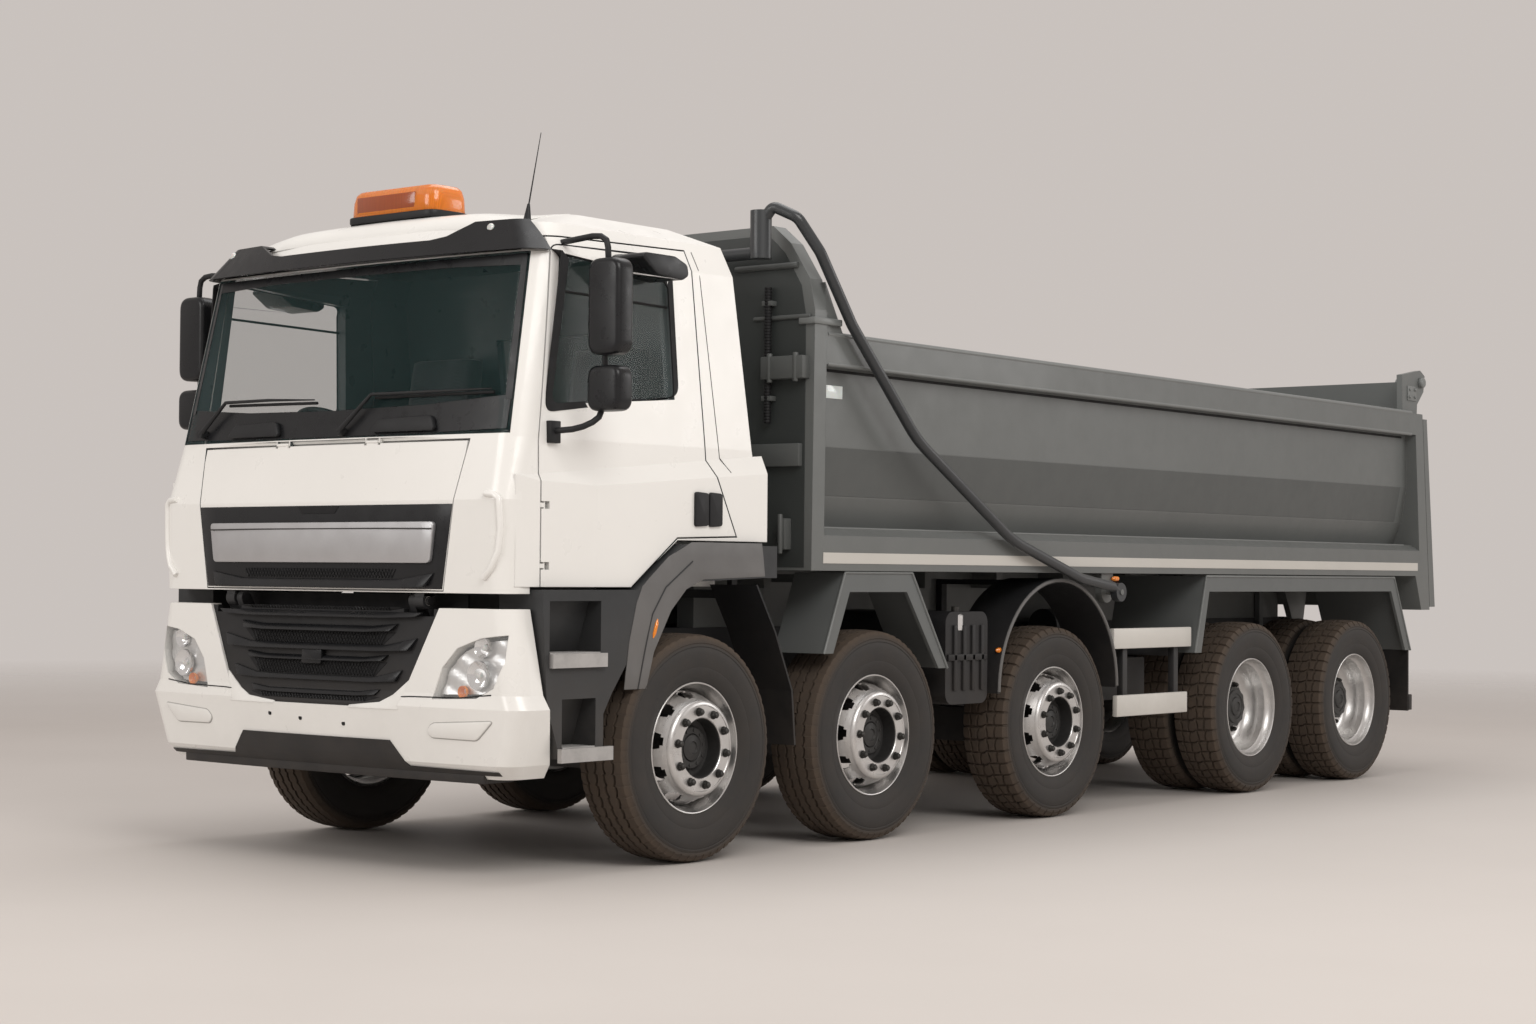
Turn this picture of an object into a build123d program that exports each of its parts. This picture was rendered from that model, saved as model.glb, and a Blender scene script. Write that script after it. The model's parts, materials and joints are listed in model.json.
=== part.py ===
"""Five-axle dump truck: forward-tilting cab, tipping steel bed, top-hung tailgate.

Millimetres. +X is forward, +Y is the truck's left and +Z is up. The origin is on the
ground, at the middle of the length and width. One STEP file is written per sub-part.
"""
from build123d import *
import math
import os

# ------------------------------------------------------------------ driving dimensions
# Axles: places along X.
AXLE_1_X = 3245.0
AXLE_2_X = AXLE_1_X - 1354.0
AXLE_3_X = AXLE_2_X - 1637.0
AXLE_4_X = AXLE_3_X - 2207.0
AXLE_5_X = AXLE_4_X - 1385.0
BOGIE_X = (AXLE_4_X + AXLE_5_X) / 2

# Wheels and tyres.
TYRE_R = 520.0
TYRE_W = 285.0
TYRE_SIDES = 32
SHOULDER_R = 478.0
TREAD_HALF_W = 104.0
RIM_R = 300.0
RIM_WALL = 14.0
RIM_W = 236.0
SINGLE_FACE_Y = 1225.0
TWIN_FACE_Y = 1235.0
TWIN_PITCH = 325.0
SINGLE_Y = SINGLE_FACE_Y - TYRE_W / 2
TWIN_OUTER_Y = TWIN_FACE_Y - TYRE_W / 2
TWIN_INNER_Y = TWIN_OUTER_Y - TWIN_PITCH
HAND_HOLES = 10
SPINDLE_R = 44.0
DRIVE_HUB_R = 62.0
DRUM_R = 205.0
PINION_Z = TYRE_R + 20.0
PINION_REACH = 300.0
RUN_GAP = 0.05
SEAT_GAP = 0.3
MOVE_GAP = 6.0

# Ladder frame.
RAIL_OUT_Y = 432.5
RAIL_FLANGE = 80.0
RAIL_PLATE = 8.0
RAIL_BOTTOM = 760.0
RAIL_TOP = 1040.0
FRAME_FRONT_X = AXLE_1_X + 1040.0
FRAME_REAR_X = AXLE_5_X - 777.0
COUPLING_PLATE = 20.0
COUPLING_Z = 900.0
COUPLING_DY = 160.0
COUPLING_DZ = 100.0
COUPLING_HOLE_R = 10.5
SPRING_Y = 510.0
SPRING_W = 90.0

# Steering.
KINGPIN_Y = 870.0
KINGPIN_R = 24.0
FIST_H = 120.0

# Cab.
CAB_TILT_X = AXLE_1_X + 1150.0
CAB_TILT_Z = 1185.0
CAB_FLOOR_Z = 1250.0
CAB_NOSE_Z = 1220.0
CAB_TOP_Z = 2925.0
CAB_WALL = 60.0
FLARE_FRONT_Y = 1168.0
FLARE_REAR_Y = 1188.0
CAB_NOSE_WALL = 95.0
ARCH_Z = 1462.0
ARCH_IN_Y = 860.0
GLASS_T = 6.0
HATCH_T = 32.0
HATCH_TOP_Z = 1885.0
HATCH_AXIS_X = AXLE_1_X + 1158.0
HATCH_AXIS_Z = HATCH_TOP_Z - 2.0
HATCH_HINGE_YS = (-300.0, 300.0)
HATCH_PIN_R = 4.0
HATCH_RELIEF_R = 16.5
DOOR_AXIS_X = AXLE_1_X + 958.0
DOOR_AXIS_Y = 1158.0
DOOR_PIN_R = 6.0
DOOR_HINGE_ZS = (1340.0, 1600.0)
HINGE_LEN = 80.0
TAB_H = 20.0
MIRROR_ARM_R = 14.0
VISOR_REAR = 882.0
VISOR_DIP = [(-760, 2870), (-690, 2835), (-590, 2790), (-500, 2778), (500, 2778), (590, 2790),
             (690, 2835), (760, 2870)]
# outlines: (x forward of axle 1, z) for the doors, (y, z) for the front
DOOR_OUTLINE = [(990, 1100), (990, 1875), (868, 2775), (-40, 2800), (-117, 1835), (-300, 1480),
                (120, 1468), (420, 1250), (420, 1100)]
DOOR_INNER_FACE = [(1075, 1000), (1075, 1890), (1040, 2700), (1000, 2800), (1000, 2900)]
DOOR_WINDOW = [(902, 2035), (832, 2700), (128, 2650), (96, 2100)]
WINDSCREEN = [(-1092, 1905), (1092, 1905), (1045, 2700), (-1045, 2700)]
HATCH = [(-888, HATCH_TOP_Z), (888, HATCH_TOP_Z), (850, 1600), (792, 1226), (-792, 1226),
         (-850, 1600)]
GRILLE_OUTLINE = [(-766, 1160), (766, 1160), (546, 720), (-546, 720)]
LAMP_OUTLINE = [(752, 765), (800, 900), (880, 985), (1010, 1030), (1144, 1045), (1140, 930),
                (1090, 820), (1000, 775)]
STEP_REAR = 640.0
STEP_OUT_Y = 1222.0
STEP_IN_Y = 960.0

# Bed.
BED_HINGE_X = AXLE_5_X - 567.0
BED_HINGE_Z = 1000.0
BED_PIN_R = 32.0
BED_HALF_W = 1250.0
BED_WALL = 25.0
BED_BOTTOM = 1330.0
BED_FLOOR_T = 40.0
HEADBOARD_X = AXLE_1_X - 780.0
HEADBOARD_T = 30.0
POST_DEPTH = 95.0
HEADBOARD_TOP = 3000.0
RAIL_Z_FRONT = 2470.0
RAIL_Z_REAR = 2432.0
RAIL_H = 145.0
GATE_TOP_Z = 2660.0
GATE_BOTTOM_Z = 1120.0
GATE_SPLIT_TOP_X = -4265.0
GATE_LEAN = 125.0 / 1415.0
GATE_T = 94.35
TAIL_X = -4493.0
GATE_PIN_X = GATE_SPLIT_TOP_X - 40
GATE_PIN_Z = 2650.0

# Cover bow and hoist.
BOW_PIVOT_X = AXLE_1_X - 3490.0
BOW_PIVOT_Z = 1225.0
BOW_TUBE_R = 27.5
BOW_ARM_Y = 1302.0
HOIST_X = AXLE_1_X - 760.0
HOIST_Z = 1000.0
HOIST_EYE_X = AXLE_1_X - 950.0
HOIST_EYE_Z = 2550.0


# ------------------------------------------------------------------ shape helpers
def block(x0, x1, y0, y1, z0, z1):
    """Box between two corners."""
    return Pos((x0 + x1) / 2, (y0 + y1) / 2, (z0 + z1) / 2) * Box(
        abs(x1 - x0), abs(y1 - y0), abs(z1 - z0))


def side_prism(points, y0, y1):
    """Outline in (x, z) carried along Y from y0 to y1."""
    face = Face(Wire.make_polygon([Vector(x, y0, z) for x, z in points]))
    return Solid.extrude(face, Vector(0, y1 - y0, 0))


def front_prism(points, x0, x1):
    """Outline in (y, z) carried along X from x0 to x1."""
    face = Face(Wire.make_polygon([Vector(x0, y, z) for y, z in points]))
    return Solid.extrude(face, Vector(x1 - x0, 0, 0))


def plan_prism(points, z0, z1):
    """Outline in (x, y) carried along Z from z0 to z1."""
    face = Face(Wire.make_polygon([Vector(x, y, z0) for x, y in points]))
    return Solid.extrude(face, Vector(0, 0, z1 - z0))


def rod(start, end, radius):
    """Round bar from one point to another."""
    start, end = Vector(*start), Vector(*end)
    along = end - start
    plane = Plane(origin=start, z_dir=along)
    return Solid.make_cylinder(radius, along.length, plane)


def pipe(start, end, outer_r, inner_r):
    """Tube from one point to another."""
    return rod(start, end, outer_r) - rod(start, end, inner_r)


def bent_tube(points, radii, tube_r):
    """Round tube along straight runs joined by tangent arcs."""
    path = FilletPolyline(*points, radius=radii)
    start = path @ 0
    section = Plane(origin=start, z_dir=path % 0) * Circle(tube_r)
    return sweep(section, path=path)


def y_ring(profile, x, z):
    """Solid of revolution about the Y axis through (x, z); profile rows are (radius, y)."""
    face = Face(Wire.make_polygon([Vector(x + r, y, z) for r, y in profile]))
    return Solid.revolve(face, 360, Axis((x, 0, z), (0, 1, 0)))


def flip(shape):
    """The same shape on the truck's right."""
    return mirror(shape, about=Plane.XZ)


def both(shape):
    return [shape, flip(shape)]


def fuse(*shapes):
    """One solid from shapes that meet."""
    result = shapes[0]
    for shape in shapes[1:]:
        result = result + shape
    return result


def cut(shape, *tools):
    for tool in tools:
        shape = shape - tool
    return shape


def solids_of(item):
    if isinstance(item, (list, tuple)):
        return [solid for entry in item for solid in solids_of(entry)]
    return list(item.solids())


def write(node, item):
    pieces = solids_of(item)
    shape = pieces[0] if len(pieces) == 1 else Compound(children=pieces)
    export_step(shape, f"parts/{node}.step")


# ------------------------------------------------------------------ wheels
def polygon_wire(radius, y, x, z):
    """Regular tyre polygon in the XZ plane whose flats are at the given radius."""
    corner_r = radius / math.cos(math.pi / TYRE_SIDES)
    points = []
    for index in range(TYRE_SIDES):
        angle = 2 * math.pi * (index + 0.5) / TYRE_SIDES
        points.append(Vector(x + corner_r * math.sin(angle), y, z + corner_r * math.cos(angle)))
    return Wire.make_polygon(points)


def tyre(x, centre_y):
    """Tyre as a faceted ring: flat sidewalls, sloping shoulders and a flat tread."""
    half = TYRE_W / 2
    sections = [(-half, SHOULDER_R), (-TREAD_HALF_W, TYRE_R), (TREAD_HALF_W, TYRE_R),
                (half, SHOULDER_R)]
    wires = [polygon_wire(r, centre_y + y, x, TYRE_R) for y, r in sections]
    body = Solid.make_loft(wires, ruled=True)
    bore = Solid.extrude(Face(polygon_wire(RIM_R + SEAT_GAP, centre_y - half - 10, x, TYRE_R)),
                         Vector(0, TYRE_W + 20, 0))
    return body - bore


def barrel(x, centre_y):
    half = RIM_W / 2
    return y_ring([(RIM_R - RIM_WALL, centre_y - half), (RIM_R, centre_y - half),
                   (RIM_R, centre_y + half), (RIM_R - RIM_WALL, centre_y + half)], x, TYRE_R)


def hole_ring(x, count, pitch_r, radius, y0, y1):
    holes = []
    for index in range(count):
        angle = 2 * math.pi * index / count
        px = x + pitch_r * math.cos(angle)
        pz = TYRE_R + pitch_r * math.sin(angle)
        holes.append(rod((px, y0, pz), (px, y1, pz), radius))
    return holes


def single_rim(x):
    """Convex disc wheel with its hub and brake drum, on the truck's left."""
    y = SINGLE_Y
    disc = y_ring([(RIM_R - RIM_WALL + 1, y + 5), (205, y + 78), (112, y + 84), (112, y + 68),
                   (198, y + 62), (RIM_R - RIM_WALL + 1, y - 11)], x, TYRE_R)
    disc = cut(disc, *hole_ring(x, HAND_HOLES, 243, 29, y - 40, y + 120))
    hub_bore = SPINDLE_R + RUN_GAP
    hub = y_ring([(hub_bore, y - 60), (130, y - 60), (130, y + 40), (170, y + 50),
                  (170, y + 69), (100, y + 69), (100, y + 40), (hub_bore, y + 40)], x, TYRE_R)
    drum = y_ring([(128, y - 40), (128, y - 55), (DRUM_R - 12, y - 55), (DRUM_R - 12, y - 105),
                   (DRUM_R, y - 105), (DRUM_R, y - 40)], x, TYRE_R)
    return fuse(barrel(x, y), disc, hub, drum)


def twin_rim(x):
    """Dished outer and inner disc wheels bolted back to back on one drive hub."""
    mid = (TWIN_OUTER_Y + TWIN_INNER_Y) / 2
    bore = DRIVE_HUB_R + RUN_GAP
    discs = y_ring([(120, mid - 16), (196, mid - 16), (RIM_R - RIM_WALL + 1, mid - 70),
                    (RIM_R - RIM_WALL + 1, mid - 54), (206, mid),
                    (RIM_R - RIM_WALL + 1, mid + 54), (RIM_R - RIM_WALL + 1, mid + 70),
                    (196, mid + 16), (120, mid + 16)], x, TYRE_R)
    discs = cut(discs, *hole_ring(x, HAND_HOLES, 243, 29, mid - 90, mid + 90))
    hub = y_ring([(bore, mid - 150), (122, mid - 150), (122, mid + 70), (104, mid + 150),
                  (0, mid + 150), (0, mid + 132), (bore, mid + 132)], x, TYRE_R)
    drum = y_ring([(120, mid - 60), (120, mid - 80), (DRUM_R - 12, mid - 80),
                   (DRUM_R - 12, mid - 270), (DRUM_R, mid - 270), (DRUM_R, mid - 60)], x, TYRE_R)
    return fuse(barrel(x, TWIN_OUTER_Y), barrel(x, TWIN_INNER_Y), discs, hub, drum)


def wheels():
    """Tyre and rim nodes for each wheel end, from one table."""
    nodes = {}
    table = [("1", AXLE_1_X, "single"), ("2", AXLE_2_X, "single"), ("3", AXLE_3_X, "single"),
             ("4", AXLE_4_X, "twin"), ("5", AXLE_5_X, "twin")]
    for name, x, kind in table:
        if kind == "single":
            rubber, rim = [tyre(x, SINGLE_Y)], single_rim(x)
        else:
            rubber, rim = [tyre(x, TWIN_OUTER_Y), tyre(x, TWIN_INNER_Y)], twin_rim(x)
        nodes[f"tyre_{name}_left"] = rubber
        nodes[f"tyre_{name}_right"] = [flip(piece) for piece in rubber]
        nodes[f"rim_{name}_left"] = rim
        nodes[f"rim_{name}_right"] = flip(rim)
    return nodes


# ------------------------------------------------------------------ axles and steering
def knuckle(x):
    """Left steering knuckle: spindle, two ears round the axle's fist, kingpin, steering arm."""
    ear_gap = 1.0
    ears = []
    for side in (-1, 1):
        z0 = TYRE_R + side * (FIST_H / 2 + ear_gap)
        z1 = z0 + side * 34
        ears.append(rod((x, KINGPIN_Y, z0), (x, KINGPIN_Y, z1), 52))
        ears.append(block(x - 45, x + 45, KINGPIN_Y, KINGPIN_Y + 84, z0, z1))
    web = block(x - 45, x + 45, KINGPIN_Y + 58, KINGPIN_Y + 84, TYRE_R - FIST_H / 2 - 30,
                TYRE_R + FIST_H / 2 + 30)
    pin = rod((x, KINGPIN_Y, TYRE_R - FIST_H / 2 - 20), (x, KINGPIN_Y, TYRE_R + FIST_H / 2 + 20),
              KINGPIN_R)
    spindle = rod((x, KINGPIN_Y + 70, TYRE_R), (x, SINGLE_Y + 36, TYRE_R), SPINDLE_R)
    arm = block(x - 190, x - 40, KINGPIN_Y - 25, KINGPIN_Y + 15, TYRE_R - FIST_H / 2 - 32,
                TYRE_R - FIST_H / 2 - 6)
    return fuse(*ears, web, pin, spindle, arm)


def steer_axle(x):
    """Forged beam, dropped between its fists."""
    low, high = TYRE_R - FIST_H / 2, TYRE_R + FIST_H / 2
    outline = [(-KINGPIN_Y - 40, low), (-KINGPIN_Y + 90, low), (-620, 395), (620, 395),
               (KINGPIN_Y - 90, low), (KINGPIN_Y + 40, low), (KINGPIN_Y + 40, high),
               (KINGPIN_Y - 70, high), (600, 485), (-600, 485), (-KINGPIN_Y + 70, high),
               (-KINGPIN_Y - 40, high)]
    beam = front_prism(outline, x - 45, x + 45)
    bores = [rod((x, side * KINGPIN_Y, low - 5), (x, side * KINGPIN_Y, high + 5),
                 KINGPIN_R + RUN_GAP) for side in (-1, 1)]
    return cut(beam, *bores)


def spindles(beam, x, radius, inner_y, outer_y):
    ends = [rod((x, side * inner_y, TYRE_R), (x, side * outer_y, TYRE_R), radius)
            for side in (-1, 1)]
    return fuse(beam, *ends)


def trailing_axle(x):
    """Undriven beam, dropped in the middle so that the propeller shaft passes over it."""
    half = SINGLE_Y - 130
    low, high = TYRE_R - 58, TYRE_R + 58
    outline = [(-half, low), (-620, 390), (620, 390), (half, low), (half, high),
               (SPRING_Y + 90, high), (SPRING_Y - 70, high), (300, 480), (-300, 480),
               (70 - SPRING_Y, high), (-SPRING_Y - 90, high), (-half, high)]
    beam = front_prism(outline, x - 50, x + 50)
    return spindles(beam, x, SPINDLE_R, half - 5, SINGLE_Y + 36)


def drive_axle(x):
    """Axle housing with the differential bowl and the pinion's nose."""
    middle = (TWIN_OUTER_Y + TWIN_INNER_Y) / 2
    housing = rod((x, 300 - middle, TYRE_R), (x, middle - 300, TYRE_R), DRIVE_HUB_R + 14)
    bowl = y_ring([(0, -150), (150, -150), (205, -60), (205, 60), (150, 150), (0, 150)],
                  x, TYRE_R)
    nose = rod((x, 0, PINION_Z), (x + PINION_REACH, 0, PINION_Z), 85)
    beam = fuse(housing, bowl, nose)
    return spindles(beam, x, DRIVE_HUB_R, middle - 305, middle + 120)


def axles():
    return [steer_axle(AXLE_1_X), steer_axle(AXLE_2_X), trailing_axle(AXLE_3_X),
            drive_axle(AXLE_4_X), drive_axle(AXLE_5_X)]


def leaf_springs():
    """Leaf packs: one pair on each forward axle and one inverted pair on the rear bogie."""
    springs = []
    y0, y1 = SPRING_Y - SPRING_W / 2, SPRING_Y + SPRING_W / 2
    seats = [(AXLE_1_X, 485.0), (AXLE_2_X, 485.0), (AXLE_3_X, TYRE_R + 58)]
    for x, seat in seats:
        low = seat + SEAT_GAP
        outline = [(x - 90, low), (x + 90, low), (x + 600, 690), (x + 600, 718), (x + 90, low + 92),
                   (x - 90, low + 92), (x - 600, 718), (x - 600, 690)]
        springs += both(side_prism(outline, y0, y1))
    seat = TYRE_R + DRIVE_HUB_R + 14 + SEAT_GAP
    reach = (AXLE_4_X - AXLE_5_X) / 2 + 60
    outline = [(BOGIE_X - reach, seat), (BOGIE_X - 380, seat), (BOGIE_X - 110, seat + 20),
               (BOGIE_X + 110, seat + 20), (BOGIE_X + 380, seat), (BOGIE_X + reach, seat),
               (BOGIE_X + reach, seat + 26), (BOGIE_X + 380, seat + 60), (BOGIE_X + 110, 718),
               (BOGIE_X - 110, 718), (BOGIE_X - 380, seat + 60), (BOGIE_X - reach, seat + 26)]
    springs += both(side_prism(outline, y0, y1))
    return springs


# ------------------------------------------------------------------ frame and driveline
def chassis_frame():
    """Two channel rails, cross-members, spring hangers, bed pins and cab hinge brackets."""
    in_y = RAIL_OUT_Y - RAIL_FLANGE
    web_y = RAIL_OUT_Y - RAIL_PLATE
    channel = [(in_y, RAIL_BOTTOM), (RAIL_OUT_Y, RAIL_BOTTOM), (RAIL_OUT_Y, RAIL_TOP),
               (in_y, RAIL_TOP), (in_y, RAIL_TOP - RAIL_PLATE), (web_y, RAIL_TOP - RAIL_PLATE),
               (web_y, RAIL_BOTTOM + RAIL_PLATE), (in_y, RAIL_BOTTOM + RAIL_PLATE)]
    parts = both(front_prism(channel, FRAME_REAR_X, FRAME_FRONT_X))
    # cross-members: x, half length along X, low z, high z
    members = [(FRAME_FRONT_X - 45, 45, RAIL_BOTTOM, RAIL_TOP), (HOIST_X, 95, 790, 860),
               (AXLE_2_X - 330, 50, 840, 1010), (AXLE_3_X + 560, 50, 840, 1010),
               (AXLE_3_X - 560, 50, 840, 1010), (AXLE_4_X + 620, 50, 840, 1010),
               (BOGIE_X, 90, 790, 1010),
               (FRAME_REAR_X + COUPLING_PLATE / 2, COUPLING_PLATE / 2, RAIL_BOTTOM, RAIL_TOP)]
    for x, half, z0, z1 in members:
        parts.append(block(x - half, x + half, -web_y - 1, web_y + 1, z0, z1))
    # spring hangers: x of each leaf end
    for axle in (AXLE_1_X, AXLE_2_X, AXLE_3_X):
        for end in (-560, 560):
            hanger = block(axle + end - 38, axle + end + 38, RAIL_OUT_Y - 1,
                           SPRING_Y + SPRING_W / 2, 718 + SEAT_GAP, 880)
            parts += both(hanger)
    saddle = block(BOGIE_X - 110, BOGIE_X + 110, RAIL_OUT_Y - 1, SPRING_Y + SPRING_W / 2,
                   718 + SEAT_GAP, 930)
    parts += both(saddle)
    pin_plate = block(BED_HINGE_X - 100, BED_HINGE_X + 100, RAIL_OUT_Y - 1, RAIL_OUT_Y + 16,
                      BED_HINGE_Z - 170, RAIL_TOP)
    pin = rod((BED_HINGE_X, RAIL_OUT_Y - 5, BED_HINGE_Z), (BED_HINGE_X, 545, BED_HINGE_Z),
              BED_PIN_R)
    parts += both(pin_plate) + both(pin)
    # hoist cradle: ears that hold the barrel's trunnions
    ear = fuse(block(HOIST_X - 50, HOIST_X + 50, 126, 158, 855, HOIST_Z),
               rod((HOIST_X, 126, HOIST_Z), (HOIST_X, 158, HOIST_Z), 50))
    ear = ear - rod((HOIST_X, 120, HOIST_Z), (HOIST_X, 170, HOIST_Z), 30 + RUN_GAP)
    parts += both(ear)
    # cab hinge brackets and pins at the nose, and the rear cab posts
    arm = side_prism([(FRAME_FRONT_X - 90, RAIL_TOP - 160), (FRAME_FRONT_X, RAIL_TOP - 160),
                      (CAB_TILT_X + 26, CAB_TILT_Z - 12), (CAB_TILT_X - 26, CAB_TILT_Z + 12)],
                     560, 596)
    arm = fuse(arm, rod((CAB_TILT_X, 560, CAB_TILT_Z), (CAB_TILT_X, 596, CAB_TILT_Z), 28),
               block(FRAME_FRONT_X - 90, FRAME_FRONT_X, RAIL_OUT_Y - 1, 561, 850, RAIL_TOP - 60),
               rod((CAB_TILT_X, 590, CAB_TILT_Z), (CAB_TILT_X, 670, CAB_TILT_Z), 18))
    parts += both(arm)
    post_x = AXLE_1_X - 400
    post = fuse(block(post_x - 50, post_x + 50, RAIL_OUT_Y - 1, 560, 900, 1000),
                block(post_x - 40, post_x + 40, 470, 560, 990, CAB_FLOOR_Z - SEAT_GAP))
    parts += both(post)
    frame = fuse(*parts)
    for dy in (-COUPLING_DY / 2, COUPLING_DY / 2):
        for dz in (-COUPLING_DZ / 2, COUPLING_DZ / 2):
            z = COUPLING_Z + dz
            frame = frame - rod((FRAME_REAR_X - 5, dy, z), (FRAME_REAR_X + COUPLING_PLATE + 5, dy, z),
                                COUPLING_HOLE_R)
    return frame


def powertrain():
    """Engine and gearbox as one plain block, the radiator, and the propeller shafts."""
    web_y = RAIL_OUT_Y - RAIL_PLATE - SEAT_GAP
    engine = fuse(block(AXLE_1_X - 300, AXLE_1_X + 700, -330, 330, 600, 1400),
                  block(AXLE_1_X - 1000, AXLE_1_X - 290, -200, 200, 420, 780),
                  block(AXLE_1_X - 60, AXLE_1_X + 60, -web_y, web_y, 860, 940))
    radiator = fuse(block(AXLE_1_X + 800, AXLE_1_X + 880, -335, 335, 620, 1170),
                    block(AXLE_1_X + 820, AXLE_1_X + 860, -web_y, web_y, 860, 940))
    front_shaft = rod((AXLE_1_X - 1001.2, 0, 600),
                      (AXLE_4_X + PINION_REACH + 1.2, 0, PINION_Z), 48)
    rear_shaft = rod((AXLE_4_X - 205.6, 0, PINION_Z - 10),
                     (AXLE_5_X + PINION_REACH + 0.8, 0, PINION_Z), 40)
    return [engine, radiator, front_shaft, rear_shaft]


# ------------------------------------------------------------------ nose: bumper and steps
def nose_outline(z, front_x, corner_x, rear_x, half_y, corner_r):
    """Plan outline with a bowed front and two round corners."""
    k = corner_r * (1 - math.cos(math.pi / 4))
    y1 = half_y - corner_r
    points = {
        "rear_right": (rear_x, -half_y), "turn_right": (corner_x - corner_r, -half_y),
        "arc_right": (corner_x - k, -half_y + k), "front_right": (corner_x, -y1),
        "middle": (front_x, 0.0), "front_left": (corner_x, y1),
        "arc_left": (corner_x - k, half_y - k), "turn_left": (corner_x - corner_r, half_y),
        "rear_left": (rear_x, half_y)}
    at = {name: Vector(x, y, z) for name, (x, y) in points.items()}
    return Wire([
        Edge.make_line(at["rear_right"], at["turn_right"]),
        Edge.make_three_point_arc(at["turn_right"], at["arc_right"], at["front_right"]),
        Edge.make_three_point_arc(at["front_right"], at["middle"], at["front_left"]),
        Edge.make_three_point_arc(at["front_left"], at["arc_left"], at["turn_left"]),
        Edge.make_line(at["turn_left"], at["rear_left"]),
        Edge.make_line(at["rear_left"], at["rear_right"])])


def nose_loft(rows):
    return Solid.make_loft([nose_outline(*row) for row in rows], ruled=True)


def bumper_skin(inset):
    """Bumper volume, each face moved in by the inset and left open at the back."""
    back = -200.0 if inset else 0.0
    # z, front centre, front corner, rear edge, half width, corner radius
    rows = [(430.0, 1150, 1120, 900, 1120, 90), (490.0, 1205, 1165, 912, 1165, 90),
            (730.0, 1250, 1185, 1000, 1248, 100), (790.0, 1235, 1180, 1008, 1215, 100),
            (1155.0, 1212, 1170, 1036, 1160, 100)]
    shifted = []
    for index, (z, front, corner, rear, half, radius) in enumerate(rows):
        drop = {0: -5.0, len(rows) - 1: 5.0}.get(index, 0.0) if inset else 0.0
        shifted.append((z + drop, AXLE_1_X + front - inset, AXLE_1_X + corner - inset,
                        AXLE_1_X + rear + back, half - inset, radius - inset / 2))
    return nose_loft(shifted)


def scaled_outline(points, grow):
    """Outline moved out from its middle by a distance, corner by corner."""
    cy = sum(y for y, _ in points) / len(points)
    cz = sum(z for _, z in points) / len(points)
    moved = []
    for y, z in points:
        reach = math.hypot(y - cy, z - cz)
        moved.append((cy + (y - cy) * (reach + grow) / reach, cz + (z - cz) * (reach + grow) / reach))
    return moved


def inset(points, gap):
    """Outline with every edge moved in by a gap."""
    area = sum(a[0] * b[1] - b[0] * a[1] for a, b in zip(points, points[1:] + points[:1]))
    turn = math.copysign(1.0, area)
    moved = []
    for i, (x, z) in enumerate(points):
        x0, z0 = points[i - 1]
        x1, z1 = points[(i + 1) % len(points)]
        into = math.hypot(x - x0, z - z0)
        out = math.hypot(x1 - x, z1 - z)
        nx0, nz0 = -(z - z0) * turn / into, (x - x0) * turn / into
        nx1, nz1 = -(z1 - z) * turn / out, (x1 - x) * turn / out
        reach = gap / (1.0 + nx0 * nx1 + nz0 * nz1)
        moved.append((x + (nx0 + nx1) * reach, z + (nz0 + nz1) * reach))
    return moved


def hinge_notches():
    return both(block(AXLE_1_X + 900, AXLE_1_X + 1300, 545, 725, 1118, 1250))


def bumper_band(thickness):
    return bumper_skin(0) - bumper_skin(thickness)


def front_bumper():
    grille_cut = front_prism(scaled_outline(GRILLE_OUTLINE, 3), AXLE_1_X + 900, AXLE_1_X + 1300)
    lamp_cut = front_prism(LAMP_OUTLINE, AXLE_1_X + 850, AXLE_1_X + 1300)
    bumper = cut(bumper_band(60), grille_cut, lamp_cut, flip(lamp_cut), *hinge_notches())
    stay = fuse(block(FRAME_FRONT_X + SEAT_GAP, AXLE_1_X + 1165, 360, 430, 560, 700),
                block(FRAME_FRONT_X + SEAT_GAP, FRAME_FRONT_X + 30, 360, 430, 690, 900))
    return fuse(bumper, *both(stay))


def lower_grille():
    skin = bumper_skin(12) - bumper_skin(44)
    region = front_prism(scaled_outline(GRILLE_OUTLINE, 2.6), AXLE_1_X + 950, AXLE_1_X + 1300)
    below = block(AXLE_1_X + 900, AXLE_1_X + 1300, -900, 900, 1150, 1300)
    return cut(skin & region, below, *hinge_notches())


def headlamps():
    region = front_prism(scaled_outline(LAMP_OUTLINE, -0.4), AXLE_1_X + 1042, AXLE_1_X + 1300)
    lamp = (bumper_skin(4) - bumper_skin(100)) & region
    return both(lamp)


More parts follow.
